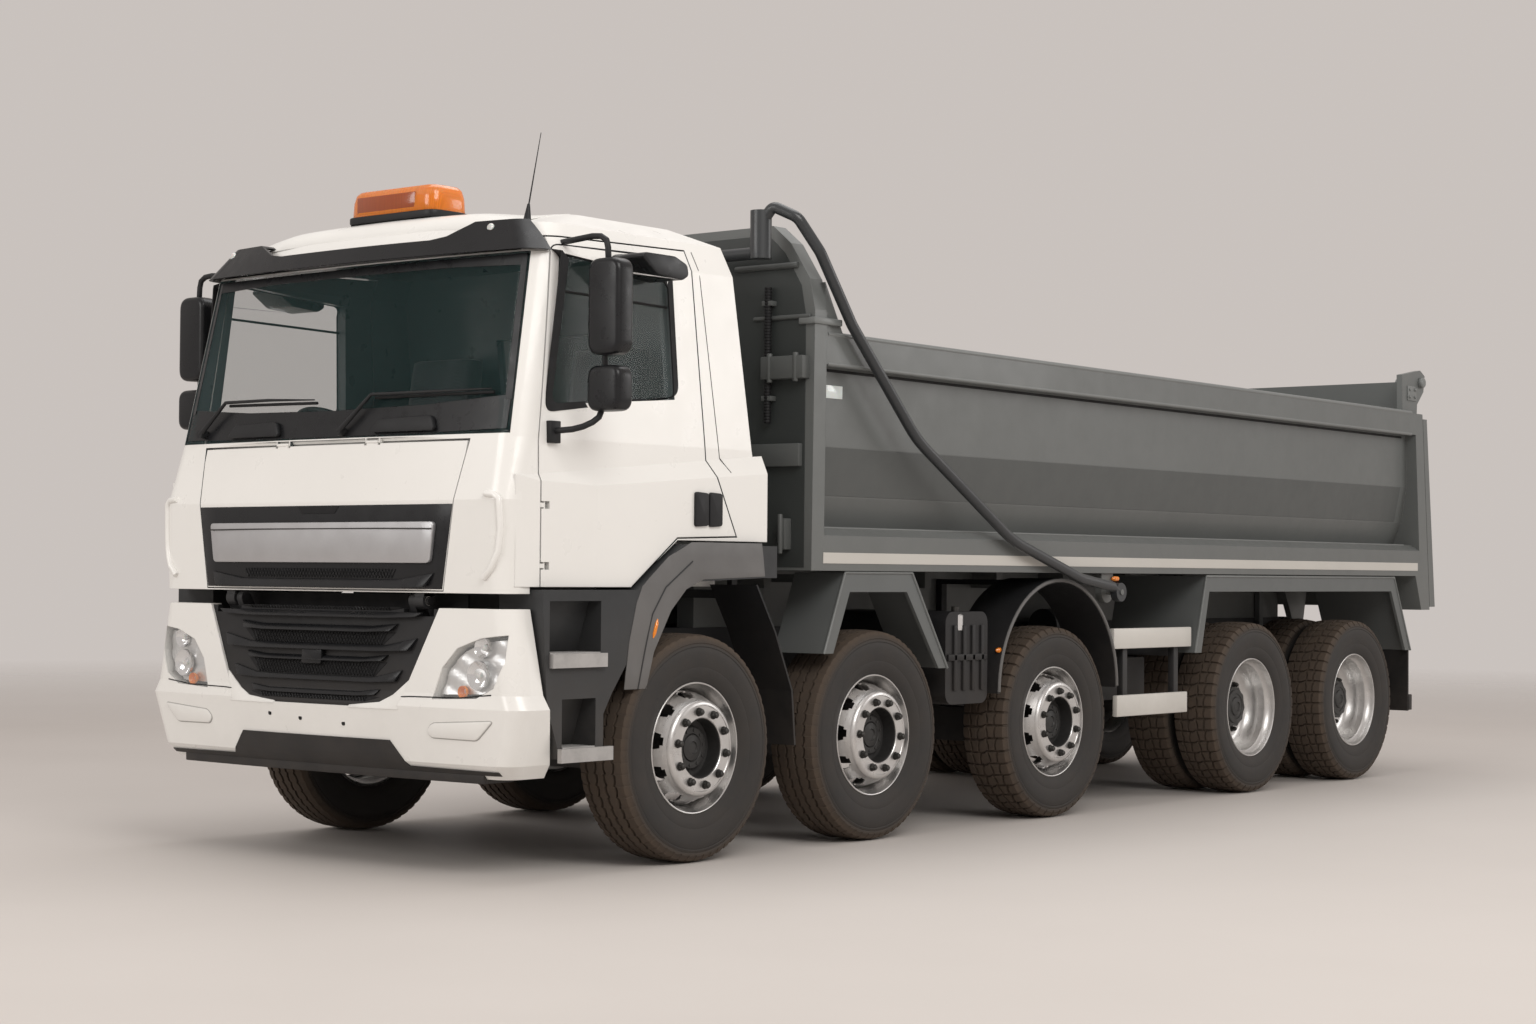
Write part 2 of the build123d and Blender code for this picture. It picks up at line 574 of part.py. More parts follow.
def step_wells():
    """Side steps and the arch trim above the front wheel, on each side."""
    ax = AXLE_1_X
    outline = [(ax + 909, 515), (ax + 988, 730), (ax + 996, 790), (ax + 1022, 1150),
               (ax + 1022, 1238), (ax + 420, 1238), (ax + 120, 1443), (ax - 554, 1443),
               (ax - 554, 1293), (ax - 460, 1293),
               (ax + 70, 1274), (ax + 260, 1180), (ax + 380, 1060), (ax + 480, 930),
               (ax + 585, 790), (ax + STEP_REAR, 700), (ax + STEP_REAR, 515)]
    body = side_prism(outline, STEP_IN_Y, STEP_OUT_Y)
    # foot wells: low z, high z, front x, rear x
    for z0, z1, x0, x1 in ((560, 770, 690, 900), (965, 1190, 660, 980)):
        body = body - block(ax + x0, ax + x1, STEP_IN_Y + 60, STEP_OUT_Y + 10, z0, z1)
    bracket = block(ax + 860, ax + 920, RAIL_OUT_Y + SEAT_GAP, STEP_IN_Y + 1, 850, 930)
    guard = fuse(block(ax - 540, ax - 500, RAIL_OUT_Y + SEAT_GAP, STEP_IN_Y + 30, 1195, 1235),
                 block(ax - 540, ax - 500, STEP_IN_Y, STEP_IN_Y + 30, 1195, 1300))
    leg = block(ax - 540, ax - 500, RAIL_OUT_Y + SEAT_GAP, RAIL_OUT_Y + 40, 960, 1235)
    return both(fuse(body, bracket, guard, leg))


def step_treads():
    """Two aluminium treads on each side: front x, rear x, top z."""
    treads = []
    for x0, x1, top in ((600, 925, 560), (640, 980, 965)):
        lip = block(AXLE_1_X + x0, AXLE_1_X + x1, STEP_OUT_Y + SEAT_GAP, STEP_OUT_Y + 24,
                    top - 60, top)
        treads += both(lip)
    return treads


# ------------------------------------------------------------------ mudguards, tanks, guards
def angular_mudguard(front_foot, top_front, top_rear, rear_foot, skirt, y0, y1):
    """Three flat plates over a wheel, with a skirt along the outer edge."""
    outer = [front_foot, top_front, top_rear, rear_foot]

    def band(drop, leg):
        inner = [(rear_foot[0] + leg, rear_foot[1]), (top_rear[0] + leg * 0.55, top_rear[1] - drop),
                 (top_front[0] - leg * 0.55, top_front[1] - drop), (front_foot[0] - leg, front_foot[1])]
        return outer + inner

    plate = side_prism(band(14, 15), y0, y1)
    edge = side_prism(band(skirt, 75), y1 - 20, y1)
    return fuse(plate, edge)


def grey_mudguards():
    second = angular_mudguard((AXLE_2_X + 459, 930), (AXLE_2_X + 296, 1322), (AXLE_2_X - 259, 1322),
                              (AXLE_2_X - 571, 838), 95, 930, 1240)
    bogie = angular_mudguard((AXLE_4_X + 742, 866), (AXLE_4_X + 615, 1318), (AXLE_5_X - 526, 1318),
                             (AXLE_5_X - 774, 830), 92, 640, 1240)
    stay_2 = block(AXLE_2_X - 25, AXLE_2_X + 25, RAIL_OUT_Y + SEAT_GAP, 935, 1270, 1312)
    leg_2 = block(AXLE_2_X - 25, AXLE_2_X + 25, RAIL_OUT_Y + SEAT_GAP, RAIL_OUT_Y + 36, 900, 1312)
    pieces = both(fuse(second, stay_2, leg_2))
    stays = []
    for x in (BOGIE_X + 60, AXLE_5_X - 120):
        stays.append(block(x - 25, x + 25, RAIL_OUT_Y + SEAT_GAP, 660, 1270, 1312))
        stays.append(block(x - 25, x + 25, RAIL_OUT_Y + SEAT_GAP, RAIL_OUT_Y + 36, 940, 1312))
    pieces += both(fuse(bogie, *stays))
    return pieces


def black_mudguards():
    """Round guards over axle 3, the flaps behind axle 1 and the rear flaps."""
    centre_z, outer, wall = 700.0, 600.0, 24.0
    ring = y_ring([(outer - wall, 935), (outer, 935), (outer, 1238), (outer - wall, 1238)],
                  AXLE_3_X, centre_z)
    ring = ring - block(AXLE_3_X - 700, AXLE_3_X + 700, 900, 1300, centre_z - 700, centre_z - 8)
    stay = block(AXLE_3_X - 25, AXLE_3_X + 25, RAIL_OUT_Y + SEAT_GAP, 940, 1262, 1290)
    leg = block(AXLE_3_X - 25, AXLE_3_X + 25, RAIL_OUT_Y + SEAT_GAP, RAIL_OUT_Y + 36, 900, 1290)
    guard = fuse(ring, stay, leg)
    ax = AXLE_1_X
    flap = side_prism([(ax - 409, 1261), (ax - 421, 1261), (ax - 560, 1040), (ax - 690, 760),
                       (ax - 715, 500), (ax - 703, 500), (ax - 678, 760), (ax - 548, 1040)],
                      930, 1215)
    hook = block(ax - 640, ax - 590, RAIL_OUT_Y + SEAT_GAP, 940, 880, 920)
    front_flap = fuse(flap, hook)
    rear_x = AXLE_5_X - 774
    tail = block(rear_x, rear_x + 14, 660, 1230, 420, 830 - SEAT_GAP)
    return both(guard) + both(front_flap) + both(tail)


def side_guards():
    """Two flat rails on each side between axles 3 and 4, on two brackets."""
    rails = []
    # front x, rear x, low z, high z
    for x0, x1, z0, z1 in ((-589, -1455, 904, 1019), (-625, -1409, 521, 641)):
        rails.append(block(AXLE_3_X + x0, AXLE_3_X + x1, 1190, 1222, z0, z1))
    for x in (AXLE_3_X - 760, AXLE_3_X - 1330):
        rails.append(block(x - 25, x + 25, 1150, 1191, 521, 1019))
        rails.append(block(x - 25, x + 25, RAIL_OUT_Y + SEAT_GAP, 1151, 850, 900))
    return both(fuse(*rails))


def side_tanks():
    """Box tanks behind axle 2, the fuel tank on the right and the battery box on the left."""
    inner = RAIL_OUT_Y + SEAT_GAP
    box = block(AXLE_2_X - 995, AXLE_2_X - 612, inner, 1200, 645, 1124)
    box = fillet(box.edges().filter_by(Axis.Y), 60)
    fuel = block(AXLE_3_X - 1290, AXLE_3_X - 800, -1100, -inner, 560, 840)
    battery = block(AXLE_3_X - 1290, AXLE_3_X - 800, inner, 1000, 600, 840)
    air = rod((AXLE_3_X - 1300, 620, 1020), (AXLE_3_X - 780, 620, 1020), 100)
    strap = block(AXLE_3_X - 1060, AXLE_3_X - 1020, inner, 620, 990, 1050)
    return both(box) + [fuel, battery, fuse(air, strap)]


def rear_underrun():
    """Cross bar behind the rear flaps, its two hangers and the tail lamp boxes."""
    x = FRAME_REAR_X
    bar = block(x - 90, x - 30, -1150, 1150, 560, 660)
    hanger = block(x - 60, x - SEAT_GAP, 340, 420, 560, 1000)
    lamp = block(x - 90, x - 30, 760, 1120, 655, 740)
    return fuse(bar, *both(hanger), *both(lamp))


# ------------------------------------------------------------------ cab
def cab_volume(side, nose, rear, floor, roof):
    """Cab volume with each group of faces moved in by its own wall."""
    # z, front centre, front corner, rear, half width, corner radius
    rows = [(CAB_NOSE_Z, 1205, 1180, -530, 1150, 90), (1620.0, 1207, 1187, -508, 1155, 90),
            (1890.0, 1165, 1120, -446, 1150, 120), (2700.0, 1000, 955, -338, 1115, 140),
            (2840.0, 905, 860, -318, 1055, 120), (CAB_TOP_Z, 560, 530, -160, 860, 100)]
    last = len(rows) - 1
    moved = []
    for index, (z, front, corner, back, half, radius) in enumerate(rows):
        lift = {0: floor, last: -roof, last - 1: -roof * 0.6}.get(index, 0.0)
        moved.append((z + lift, AXLE_1_X + front - nose, AXLE_1_X + corner - nose,
                      AXLE_1_X + back + rear, half - side, max(radius - side / 2, 20.0)))
    volume = nose_loft(moved)
    grow = side
    arch = side_prism([(AXLE_1_X + 430 + grow, 1100), (AXLE_1_X + 430 + grow, CAB_FLOOR_Z + floor),
                       (AXLE_1_X + 120 + grow * 0.6, ARCH_Z + floor),
                       (AXLE_1_X - 700, ARCH_Z + floor), (AXLE_1_X - 700, 1100)],
                      ARCH_IN_Y - grow, 1300)
    tunnel = block(AXLE_1_X - 700, AXLE_1_X + 740 + grow, -380 - grow, 380 + grow, 1100,
                   1450 + floor)
    sill = block(AXLE_1_X - 700, AXLE_1_X + 1030, -1300, 1300, 1100, CAB_FLOOR_Z + floor)
    return cut(volume, arch, flip(arch), tunnel, sill)


def cab_flare():
    """Left lower side panel that stands out below a sloping shoulder."""
    ax = AXLE_1_X
    panel = plan_prism([(ax + 1120, 1140), (ax + 1120, 1150), (ax + 1000, FLARE_FRONT_Y),
                        (ax + 650, FLARE_REAR_Y), (ax - 520, FLARE_REAR_Y), (ax - 520, 1140)],
                       CAB_FLOOR_Z, 1950)
    ends = []
    for x, low, high in ((ax + 1150, 1650, 1725), (ax - 600, 1785, 1875)):
        corners = [(1100, high), (1150, high), (FLARE_REAR_Y + 2, low), (1300, low), (1300, 2000),
                   (1100, 2000)]
        ends.append(Wire.make_polygon([Vector(x, y, z) for y, z in corners]))
    above = Solid.make_loft(ends, ruled=True)
    arch = side_prism([(ax + 430, 1100), (ax + 430, CAB_FLOOR_Z), (ax + 120, ARCH_Z),
                       (ax - 700, ARCH_Z), (ax - 700, 1100)], 1000, 1300)
    return cut(panel, above, arch)


def cab_body():
    """Outer cab volume with its flared lower sides."""
    return fuse(cab_volume(0, 0, 0, 0, 0), *both(cab_flare()))


def cab_hollow():
    return cab_volume(CAB_WALL, CAB_NOSE_WALL, 50.0, 60.0, 50.0)


def place(points):
    """Outline points given forward of axle 1, as (x, z)."""
    return [(AXLE_1_X + x, z) for x, z in points]


def door_region(gap):
    """Left door outline as a prism, moved in by a gap, with an inner face just inside the wall."""
    outline = place(DOOR_OUTLINE)
    prism = side_prism(inset(outline, gap) if gap else outline, 900, 1300)
    face = [(y + 2 * gap, z) for y, z in DOOR_INNER_FACE]
    return prism & front_prism(face + [(1300, face[-1][1]), (1300, face[0][1])],
                               AXLE_1_X - 400, AXLE_1_X + 1100)


def door_hinge_pins():
    """Left hinge pins, each on a tab that reaches back from the pillar."""
    pins = []
    for z in DOOR_HINGE_ZS:
        pins.append(rod((DOOR_AXIS_X, DOOR_AXIS_Y, z - HINGE_LEN / 2),
                        (DOOR_AXIS_X, DOOR_AXIS_Y, z + HINGE_LEN / 2), DOOR_PIN_R))
        pins.append(block(DOOR_AXIS_X, AXLE_1_X + 1000, DOOR_AXIS_Y - DOOR_PIN_R,
                          DOOR_AXIS_Y + DOOR_PIN_R, z - TAB_H / 2, z + TAB_H / 2))
    return pins


def door_hinge_sockets():
    """Bores for the pins, and the slots that the tabs swing in."""
    tools = []
    for z in DOOR_HINGE_ZS:
        tools.append(rod((DOOR_AXIS_X, DOOR_AXIS_Y, z - HINGE_LEN / 2 - 1),
                         (DOOR_AXIS_X, DOOR_AXIS_Y, z + HINGE_LEN / 2 + 1), DOOR_PIN_R + RUN_GAP))
        tools.append(block(DOOR_AXIS_X - 22, AXLE_1_X + 1010, DOOR_AXIS_Y - 22, DOOR_AXIS_Y + 40,
                           z - TAB_H / 2 - MOVE_GAP, z + TAB_H / 2 + MOVE_GAP))
    return tools


def doors():
    shell = cab_body() - cab_hollow()
    blank = shell & door_region(7)
    window = side_prism(place(DOOR_WINDOW), 900, 1300)
    return cut(blank, window, *door_hinge_sockets())


def door_glass():
    region = side_prism(scaled_outline(place(DOOR_WINDOW), -0.4), 900, 1300)
    skin = cab_volume(14, 14, 14, 14, 14) - cab_volume(14 + GLASS_T, 14, 14, 14, 14)
    return skin & region


def hatch_region(gap, depth):
    outline = inset(HATCH, gap) if gap else HATCH
    tool = front_prism(outline, AXLE_1_X + 950, AXLE_1_X + 1400)
    return tool & (cab_volume(0, 0, 0, 0, 0) - cab_volume(-30, depth, -30, -30, -30))


def hatch_barrel(y, half, radius):
    return rod((HATCH_AXIS_X, y - half, HATCH_AXIS_Z), (HATCH_AXIS_X, y + half, HATCH_AXIS_Z),
               radius)


def front_hatch():
    """Hinged nose panel with a barrel at each hinge."""
    panel = hatch_region(5, HATCH_T)
    trims = []
    for y0, y1 in ((-900, -352), (-248, 248), (352, 900)):
        trims.append(block(HATCH_AXIS_X - 90, HATCH_AXIS_X + 60, y0, y1, HATCH_TOP_Z - 9,
                           HATCH_TOP_Z + 20))
    trims += both(block(HATCH_AXIS_X - 90, HATCH_AXIS_X + 60, 874, 900, 1815, HATCH_TOP_Z + 20))
    panel = cut(panel, *trims)
    for y in HATCH_HINGE_YS:
        panel = cut(panel, block(HATCH_AXIS_X - 30, HATCH_AXIS_X + 20, y - 52, y - 35,
                                 HATCH_AXIS_Z - 14, HATCH_AXIS_Z + 10),
                    block(HATCH_AXIS_X - 30, HATCH_AXIS_X + 20, y + 35, y + 52,
                          HATCH_AXIS_Z - 14, HATCH_AXIS_Z + 10))
        panel = fuse(panel, hatch_barrel(y, 35, 8))
        panel = panel - hatch_barrel(y, 60, HATCH_PIN_R + RUN_GAP)
    return panel


def hatch_pins():
    """Pins for the front hatch, each held at both ends by an ear on the cab."""
    made = []
    for y in HATCH_HINGE_YS:
        made.append(hatch_barrel(y, 46, HATCH_PIN_R))
        for side in (-1, 1):
            made.append(block(HATCH_AXIS_X - 20, HATCH_AXIS_X + 3, y + side * 40, y + side * 47,
                              HATCH_AXIS_Z - 5, HATCH_TOP_Z + 16))
    return made


def cab_shell():
    shell = cab_body() - cab_hollow()
    opening = door_region(0)
    screen = front_prism(WINDSCREEN, AXLE_1_X + 700, AXLE_1_X + 1400)
    rear_window = block(AXLE_1_X - 600, AXLE_1_X - 200, -420, 420, 2050, 2480)
    recess = hatch_region(0, HATCH_T + MOVE_GAP)
    relief = hatch_barrel(0, 888, HATCH_RELIEF_R)
    shell = cut(shell, opening, flip(opening), screen, rear_window, recess, relief)
    lug = fuse(rod((CAB_TILT_X, 604, CAB_TILT_Z), (CAB_TILT_X, 660, CAB_TILT_Z), 36),
               block(CAB_TILT_X - 34, CAB_TILT_X + 30, 604, 660, CAB_TILT_Z, CAB_NOSE_Z + 5))
    lug = lug - rod((CAB_TILT_X, 600, CAB_TILT_Z), (CAB_TILT_X, 680, CAB_TILT_Z), 18 + RUN_GAP)
    pins = door_hinge_pins()
    return fuse(shell, *both(lug), *pins, *[flip(pin) for pin in pins], *hatch_pins())


def cab_glass():
    screen = front_prism(scaled_outline(WINDSCREEN, -0.4), AXLE_1_X + 700, AXLE_1_X + 1400)
    skin = cab_volume(0, 8, 0, 0, 0) - cab_volume(0, 8 + GLASS_T, 0, 0, 0)
    rear = block(AXLE_1_X - 600, AXLE_1_X - 200, -419.7, 419.7, 2050.3, 2479.7)
    rear_skin = cab_volume(0, 0, 14, 0, 0) - cab_volume(0, 0, 14 + GLASS_T, 0, 0)
    return [skin & screen, rear_skin & rear]


def dashboard():
    """Instrument panel across the cab, with the column and wheel on the right."""
    outline = place([(1040, 1500), (1040, 1850), (960, 1930), (760, 1900), (700, 1780),
                     (760, 1560), (860, 1500)])
    panel = side_prism(outline, -1070, 1070)
    panel = panel & cab_hollow()
    centre = Vector(AXLE_1_X + 600, -560, 1950)
    tilt = Location(centre, (0, -35, 0))
    wheel = tilt * Torus(215, 17)
    hub = tilt * Cylinder(55, 40)
    spokes = tilt * fuse(Box(410, 40, 16), Box(40, 410, 16))
    column = rod((AXLE_1_X + 775, -560, 1700), (AXLE_1_X + 603, -560, 1945), 35)
    return [fuse(panel, column, wheel, hub, spokes)]


def seats():
    """Two seats: cushion, back and pedestal."""
    made = []
    for y in (-560.0, 560.0):
        x = AXLE_1_X + 60
        cushion = block(x - 130, x + 340, y - 240, y + 240, 1640, 1760)
        back = side_prism([(x - 130, 1650), (x - 20, 1650), (x - 90, 2390), (x - 190, 2390)],
                          y - 230, y + 230)
        side = math.copysign(1.0, y)
        base = block(x - 60, x + 280, side * 446, side * 735, CAB_FLOOR_Z + 60 + SEAT_GAP, 1641)
        made.append(fuse(cushion, back, base))
    return made


def sun_visor():
    """Visor across the top of the windscreen on short stays, with its two marker lamps."""
    rows = [(2705.0, 1075, 1010, 840, 1118, 120), (2850.0, 1000, 930, 760, 1000, 110)]
    outer = nose_loft([(z, AXLE_1_X + f, AXLE_1_X + c, AXLE_1_X + r, h, k)
                       for z, f, c, r, h, k in rows])
    inner = nose_loft([(2700.0, AXLE_1_X + 1062, AXLE_1_X + 997, AXLE_1_X + 700, 1106, 114),
                       (2838.0, AXLE_1_X + 990, AXLE_1_X + 920, AXLE_1_X + 640, 990, 104)])
    clear_of_cab = cab_volume(-SEAT_GAP, -SEAT_GAP, 0, 0, -SEAT_GAP)
    behind = block(AXLE_1_X + 600, AXLE_1_X + VISOR_REAR, -1300, 1300, 2600, 2950)
    dip = front_prism(VISOR_DIP, AXLE_1_X + 600, AXLE_1_X + 1200)
    visor = cut(outer, inner, clear_of_cab, behind, dip)
    return max(solids_of(visor), key=lambda solid: solid.volume)


def roof_fittings():
    """Beacon bar on two feet, and the aerial at the roof's front left corner."""
    x = AXLE_1_X + 680
    roof = cab_volume(-SEAT_GAP, -SEAT_GAP, 0, 0, -SEAT_GAP)
    bar = fuse(block(x - 110, x + 110, -395, 395, 2935, 2985),
               block(x - 95, x + 95, -385, 385, 2975, 3090),
               block(x - 60, x + 60, -300, -240, 2850, 2940),
               block(x - 60, x + 60, 240, 300, 2850, 2940))
    aerial = fuse(rod((AXLE_1_X + 818, 900, 2830), (AXLE_1_X + 732, 900, 3260), 6),
                  rod((AXLE_1_X + 815, 900, 2830), (AXLE_1_X + 808, 900, 2895), 20))
    keep = [max(solids_of(piece - roof), key=lambda solid: solid.volume) for piece in (bar, aerial)]
    return keep


def mirrors():
    """Left door mirrors: two heads on a bent arm, a top arm, and a kerb mirror above the window."""
    ax = AXLE_1_X
    head = block(ax + 740, ax + 850, 1290, 1480, 2240, 2660)
    head = fillet(head.edges(), 22)
    small = block(ax + 740, ax + 850, 1290, 1480, 2000, 2200)
    small = fillet(small.edges(), 22)
    bracket = block(ax + 872, ax + 938, 1130, 1178, 1865, 1965)
    low_arm = bent_tube([(ax + 905, 1150, 1920), (ax + 895, 1290, 1925), (ax + 810, 1340, 1965),
                         (ax + 800, 1350, 2030)], [50, 40], MIRROR_ARM_R)
    stem = rod((ax + 800, 1360, 2180), (ax + 800, 1360, 2260), MIRROR_ARM_R)
    top_arm = bent_tube([(ax + 790, 1080, 2748), (ax + 800, 1300, 2762), (ax + 800, 1370, 2740),
                         (ax + 800, 1375, 2640)], [60, 40], MIRROR_ARM_R)
    kerb = side_prism([(ax + 520, 2700), (ax + 500, 2722), (ax + 300, 2722), (ax + 215, 2690),
                       (ax + 205, 2640), (ax + 250, 2615), (ax + 420, 2630)], 1120, 1320)
    neck = block(ax + 330, ax + 470, 1080, 1150, 2700, 2728)
    clear_of_door = cab_volume(-SEAT_GAP, 0, 0, 0, 0)
    made = []
    for body in (fuse(head, small, bracket, low_arm, stem, top_arm), fuse(kerb, neck)):
        made.append(max(solids_of(body - clear_of_door), key=lambda solid: solid.volume))
    return made


# ------------------------------------------------------------------ bed
def rail_z(x):
    """Height of the top rail's upper face at a place along the bed."""
    front, rear = HEADBOARD_X, GATE_SPLIT_TOP_X
    return RAIL_Z_REAR + (RAIL_Z_FRONT - RAIL_Z_REAR) * (x - rear) / (front - rear)


def bed_wall_section(z_top):
    """Left wall in (y, z): sill box, ledge, three facets and the wall's inner face."""
    y = BED_HALF_W
    return [(y - 300, BED_BOTTOM), (y, BED_BOTTOM), (y, 1500), (y - 60, 1540), (y - 190, 1540),
            (y - 128, 1690), (y - 80, 1935), (y - 72, z_top), (y - 72 - BED_WALL, z_top),
            (y - 80 - BED_WALL, 1938), (y - 128 - BED_WALL, 1695), (y - 215, 1548), (y - 300, 1370)]


def gate_line(z):
    """X of the split between bed and tailgate at a height."""
    return GATE_SPLIT_TOP_X - (2565.0 - z) * GATE_LEAN


def bed_shell():
    rear = TAIL_X
    front = HEADBOARD_X - HEADBOARD_T
    wall = front_prism(bed_wall_section(2340.0), rear, front + 1)
    floor = block(rear, front + 1, -BED_HALF_W + 290, BED_HALF_W - 290, BED_BOTTOM,
                  BED_BOTTOM + BED_FLOOR_T)
    side_top = side_prism([(front + 1, rail_z(front) - RAIL_H), (front + 1, rail_z(front)),
                           (rear, rail_z(rear)), (rear, rail_z(rear) - RAIL_H)],
                          BED_HALF_W - 110, BED_HALF_W)
    shell = fuse(floor, wall, flip(wall), side_top, flip(side_top))
    behind_gate = side_prism([(gate_line(1000), 1000), (gate_line(2800), 2800), (TAIL_X - 200, 2800),
                              (TAIL_X - 200, 1000)], -1300, 1300)
    return shell - behind_gate


def headboard():
    outline = [(-1250, BED_BOTTOM), (1250, BED_BOTTOM), (1262, 2580), (1230, 2730), (1110, 2910),
               (1000, HEADBOARD_TOP), (-1000, HEADBOARD_TOP), (-1110, 2910), (-1230, 2730),
               (-1262, 2580)]
    plate = front_prism(outline, HEADBOARD_X - HEADBOARD_T, HEADBOARD_X)
    rim = front_prism(outline, HEADBOARD_X - POST_DEPTH, HEADBOARD_X - HEADBOARD_T + 1)
    rim = rim - front_prism([(-1210, BED_BOTTOM - 1), (1210, BED_BOTTOM - 1), (1212, 2570),
                             (1188, 2705), (1085, 2872), (980, HEADBOARD_TOP - 40),
                             (-980, HEADBOARD_TOP - 40), (-1085, 2872), (-1188, 2705),
                             (-1212, 2570)], HEADBOARD_X - POST_DEPTH - 1, HEADBOARD_X)
    return fuse(plate, rim)


def gusset():
    """Sloping plate that ties the headboard's post to the top rail."""
    x = HEADBOARD_X - POST_DEPTH + 1
    return side_prism([(x, 2330), (x, 2720), (x - 150, rail_z(x) - 5), (x - 150, 2330)],
                      BED_HALF_W - 40, BED_HALF_W)


def hoist_recess(grow):
    """Wedge behind the headboard in which the hoist stands; grown for its outer walls."""
    half = 170.0 + grow
    top = HOIST_EYE_Z + 90 + grow
    back_top = HOIST_EYE_X - 160 - grow
    back_low = HOIST_EYE_X - 450 - grow
    return side_prism([(HEADBOARD_X + 5, BED_BOTTOM - 5), (HEADBOARD_X + 5, top), (back_top, top),
                       (back_low, BED_BOTTOM - 5)], -half, half)


def corner_post():
    """Rear post with the raised lug that carries the tailgate's top pin."""
    post = side_prism([(gate_line(BED_BOTTOM) + 130, BED_BOTTOM), (gate_line(2432) + 115, 2432),
                       (gate_line(2432), 2432), (gate_line(1100), 1100),
                       (gate_line(1100) + 130, 1100), (gate_line(1100) + 220, BED_BOTTOM)],
                      BED_HALF_W - 190, BED_HALF_W)
    lug_x = GATE_SPLIT_TOP_X + 235
    lug = side_prism([(lug_x, 2400), (lug_x + 8, 2690), (GATE_SPLIT_TOP_X - 40, 2735),
                      (GATE_SPLIT_TOP_X - 110, 2700), (GATE_SPLIT_TOP_X - 90, 2590),
                      (GATE_SPLIT_TOP_X + 8, 2500), (GATE_SPLIT_TOP_X + 16, 2400)],
                     BED_HALF_W - 70, BED_HALF_W - 30)
    return fuse(post, lug)


def bed_underframe():
    """Two long beams on the frame, cross-bearers and the hinge ears."""
    parts = []
    beam = block(BED_HINGE_X + 130, HEADBOARD_X - 100, 315, 425, RAIL_TOP + SEAT_GAP, BED_BOTTOM + 1)
    parts += both(beam)
    for index in range(9):
        x = BED_HINGE_X + 300 + index * 700
        parts += both(block(x - 30, x + 30, 420, 600, 1240, BED_BOTTOM + 1))
    ear = side_prism([(BED_HINGE_X - 70, BED_HINGE_Z), (BED_HINGE_X + 70, BED_HINGE_Z),
                      (BED_HINGE_X + 260, BED_BOTTOM + 1), (BED_HINGE_X - 150, BED_BOTTOM + 1)],
                     472, 512)
    ear = fuse(ear, rod((BED_HINGE_X, 472, BED_HINGE_Z), (BED_HINGE_X, 512, BED_HINGE_Z), 70))
    ear = ear - rod((BED_HINGE_X, 470, BED_HINGE_Z), (BED_HINGE_X, 515, BED_HINGE_Z),
                    BED_PIN_R + RUN_GAP)
    parts += both(ear)
    return parts


def bed():
    tub = fuse(bed_shell(), headboard(), *both(gusset()), *both(corner_post()))
    tub = fuse(tub, hoist_recess(25) & block(HEADBOARD_X - 1200, HEADBOARD_X - 5, -400, 400,
                                             BED_BOTTOM, 2800))
    tub = tub - hoist_recess(0)
    ear = block(HOIST_EYE_X - 60, HOIST_EYE_X + 60, 56, 78, HOIST_EYE_Z - 60, HOIST_EYE_Z + 95)
    bow_bracket = fuse(block(BOW_PIVOT_X - 60, BOW_PIVOT_X + 60, 1190, 1230, BOW_PIVOT_Z - 10,
                             BED_BOTTOM + 1),
                       rod((BOW_PIVOT_X, 1190, BOW_PIVOT_Z), (BOW_PIVOT_X, 1230, BOW_PIVOT_Z), 60),
                       rod((BOW_PIVOT_X, 1225, BOW_PIVOT_Z), (BOW_PIVOT_X, 1330, BOW_PIVOT_Z), 16))
    pin_hole = rod((GATE_PIN_X, 1100, GATE_PIN_Z), (GATE_PIN_X, 1300, GATE_PIN_Z), 20 + RUN_GAP)
    tub = fuse(tub, *both(ear), *both(bow_bracket), *bed_underframe())
    return cut(tub, pin_hole, flip(pin_hole))


def tailgate():
    x = gate_line
    gap = MOVE_GAP
    panel = side_prism([(x(GATE_BOTTOM_Z) - gap, GATE_BOTTOM_Z), (x(GATE_TOP_Z) - gap, GATE_TOP_Z),
                        (x(GATE_TOP_Z) - gap - GATE_T + 30, GATE_TOP_Z),
                        (x(GATE_BOTTOM_Z) - gap - GATE_T, GATE_BOTTOM_Z)], -1160, 1160)
    lower = side_prism([(x(GATE_BOTTOM_Z) - gap, GATE_BOTTOM_Z), (x(2400) - gap, 2400),
                        (x(2400) - gap - 60, 2400), (x(GATE_BOTTOM_Z) - gap - 80, GATE_BOTTOM_Z)],
                       -BED_HALF_W, BED_HALF_W)
    pin = rod((GATE_PIN_X, 1100, GATE_PIN_Z), (GATE_PIN_X, 1235, GATE_PIN_Z), 20)
    boss = rod((GATE_PIN_X, 1050, GATE_PIN_Z), (GATE_PIN_X, 1165, GATE_PIN_Z), 34)
    strap = side_prism([(x(2600) - gap - 20, 2560), (GATE_PIN_X + 30, GATE_PIN_Z),
                        (GATE_PIN_X - 30, GATE_PIN_Z + 20), (x(2600) - gap - 70, 2560)], 1060, 1155)
    return fuse(panel, lower, *both(pin), *both(boss), *both(strap))


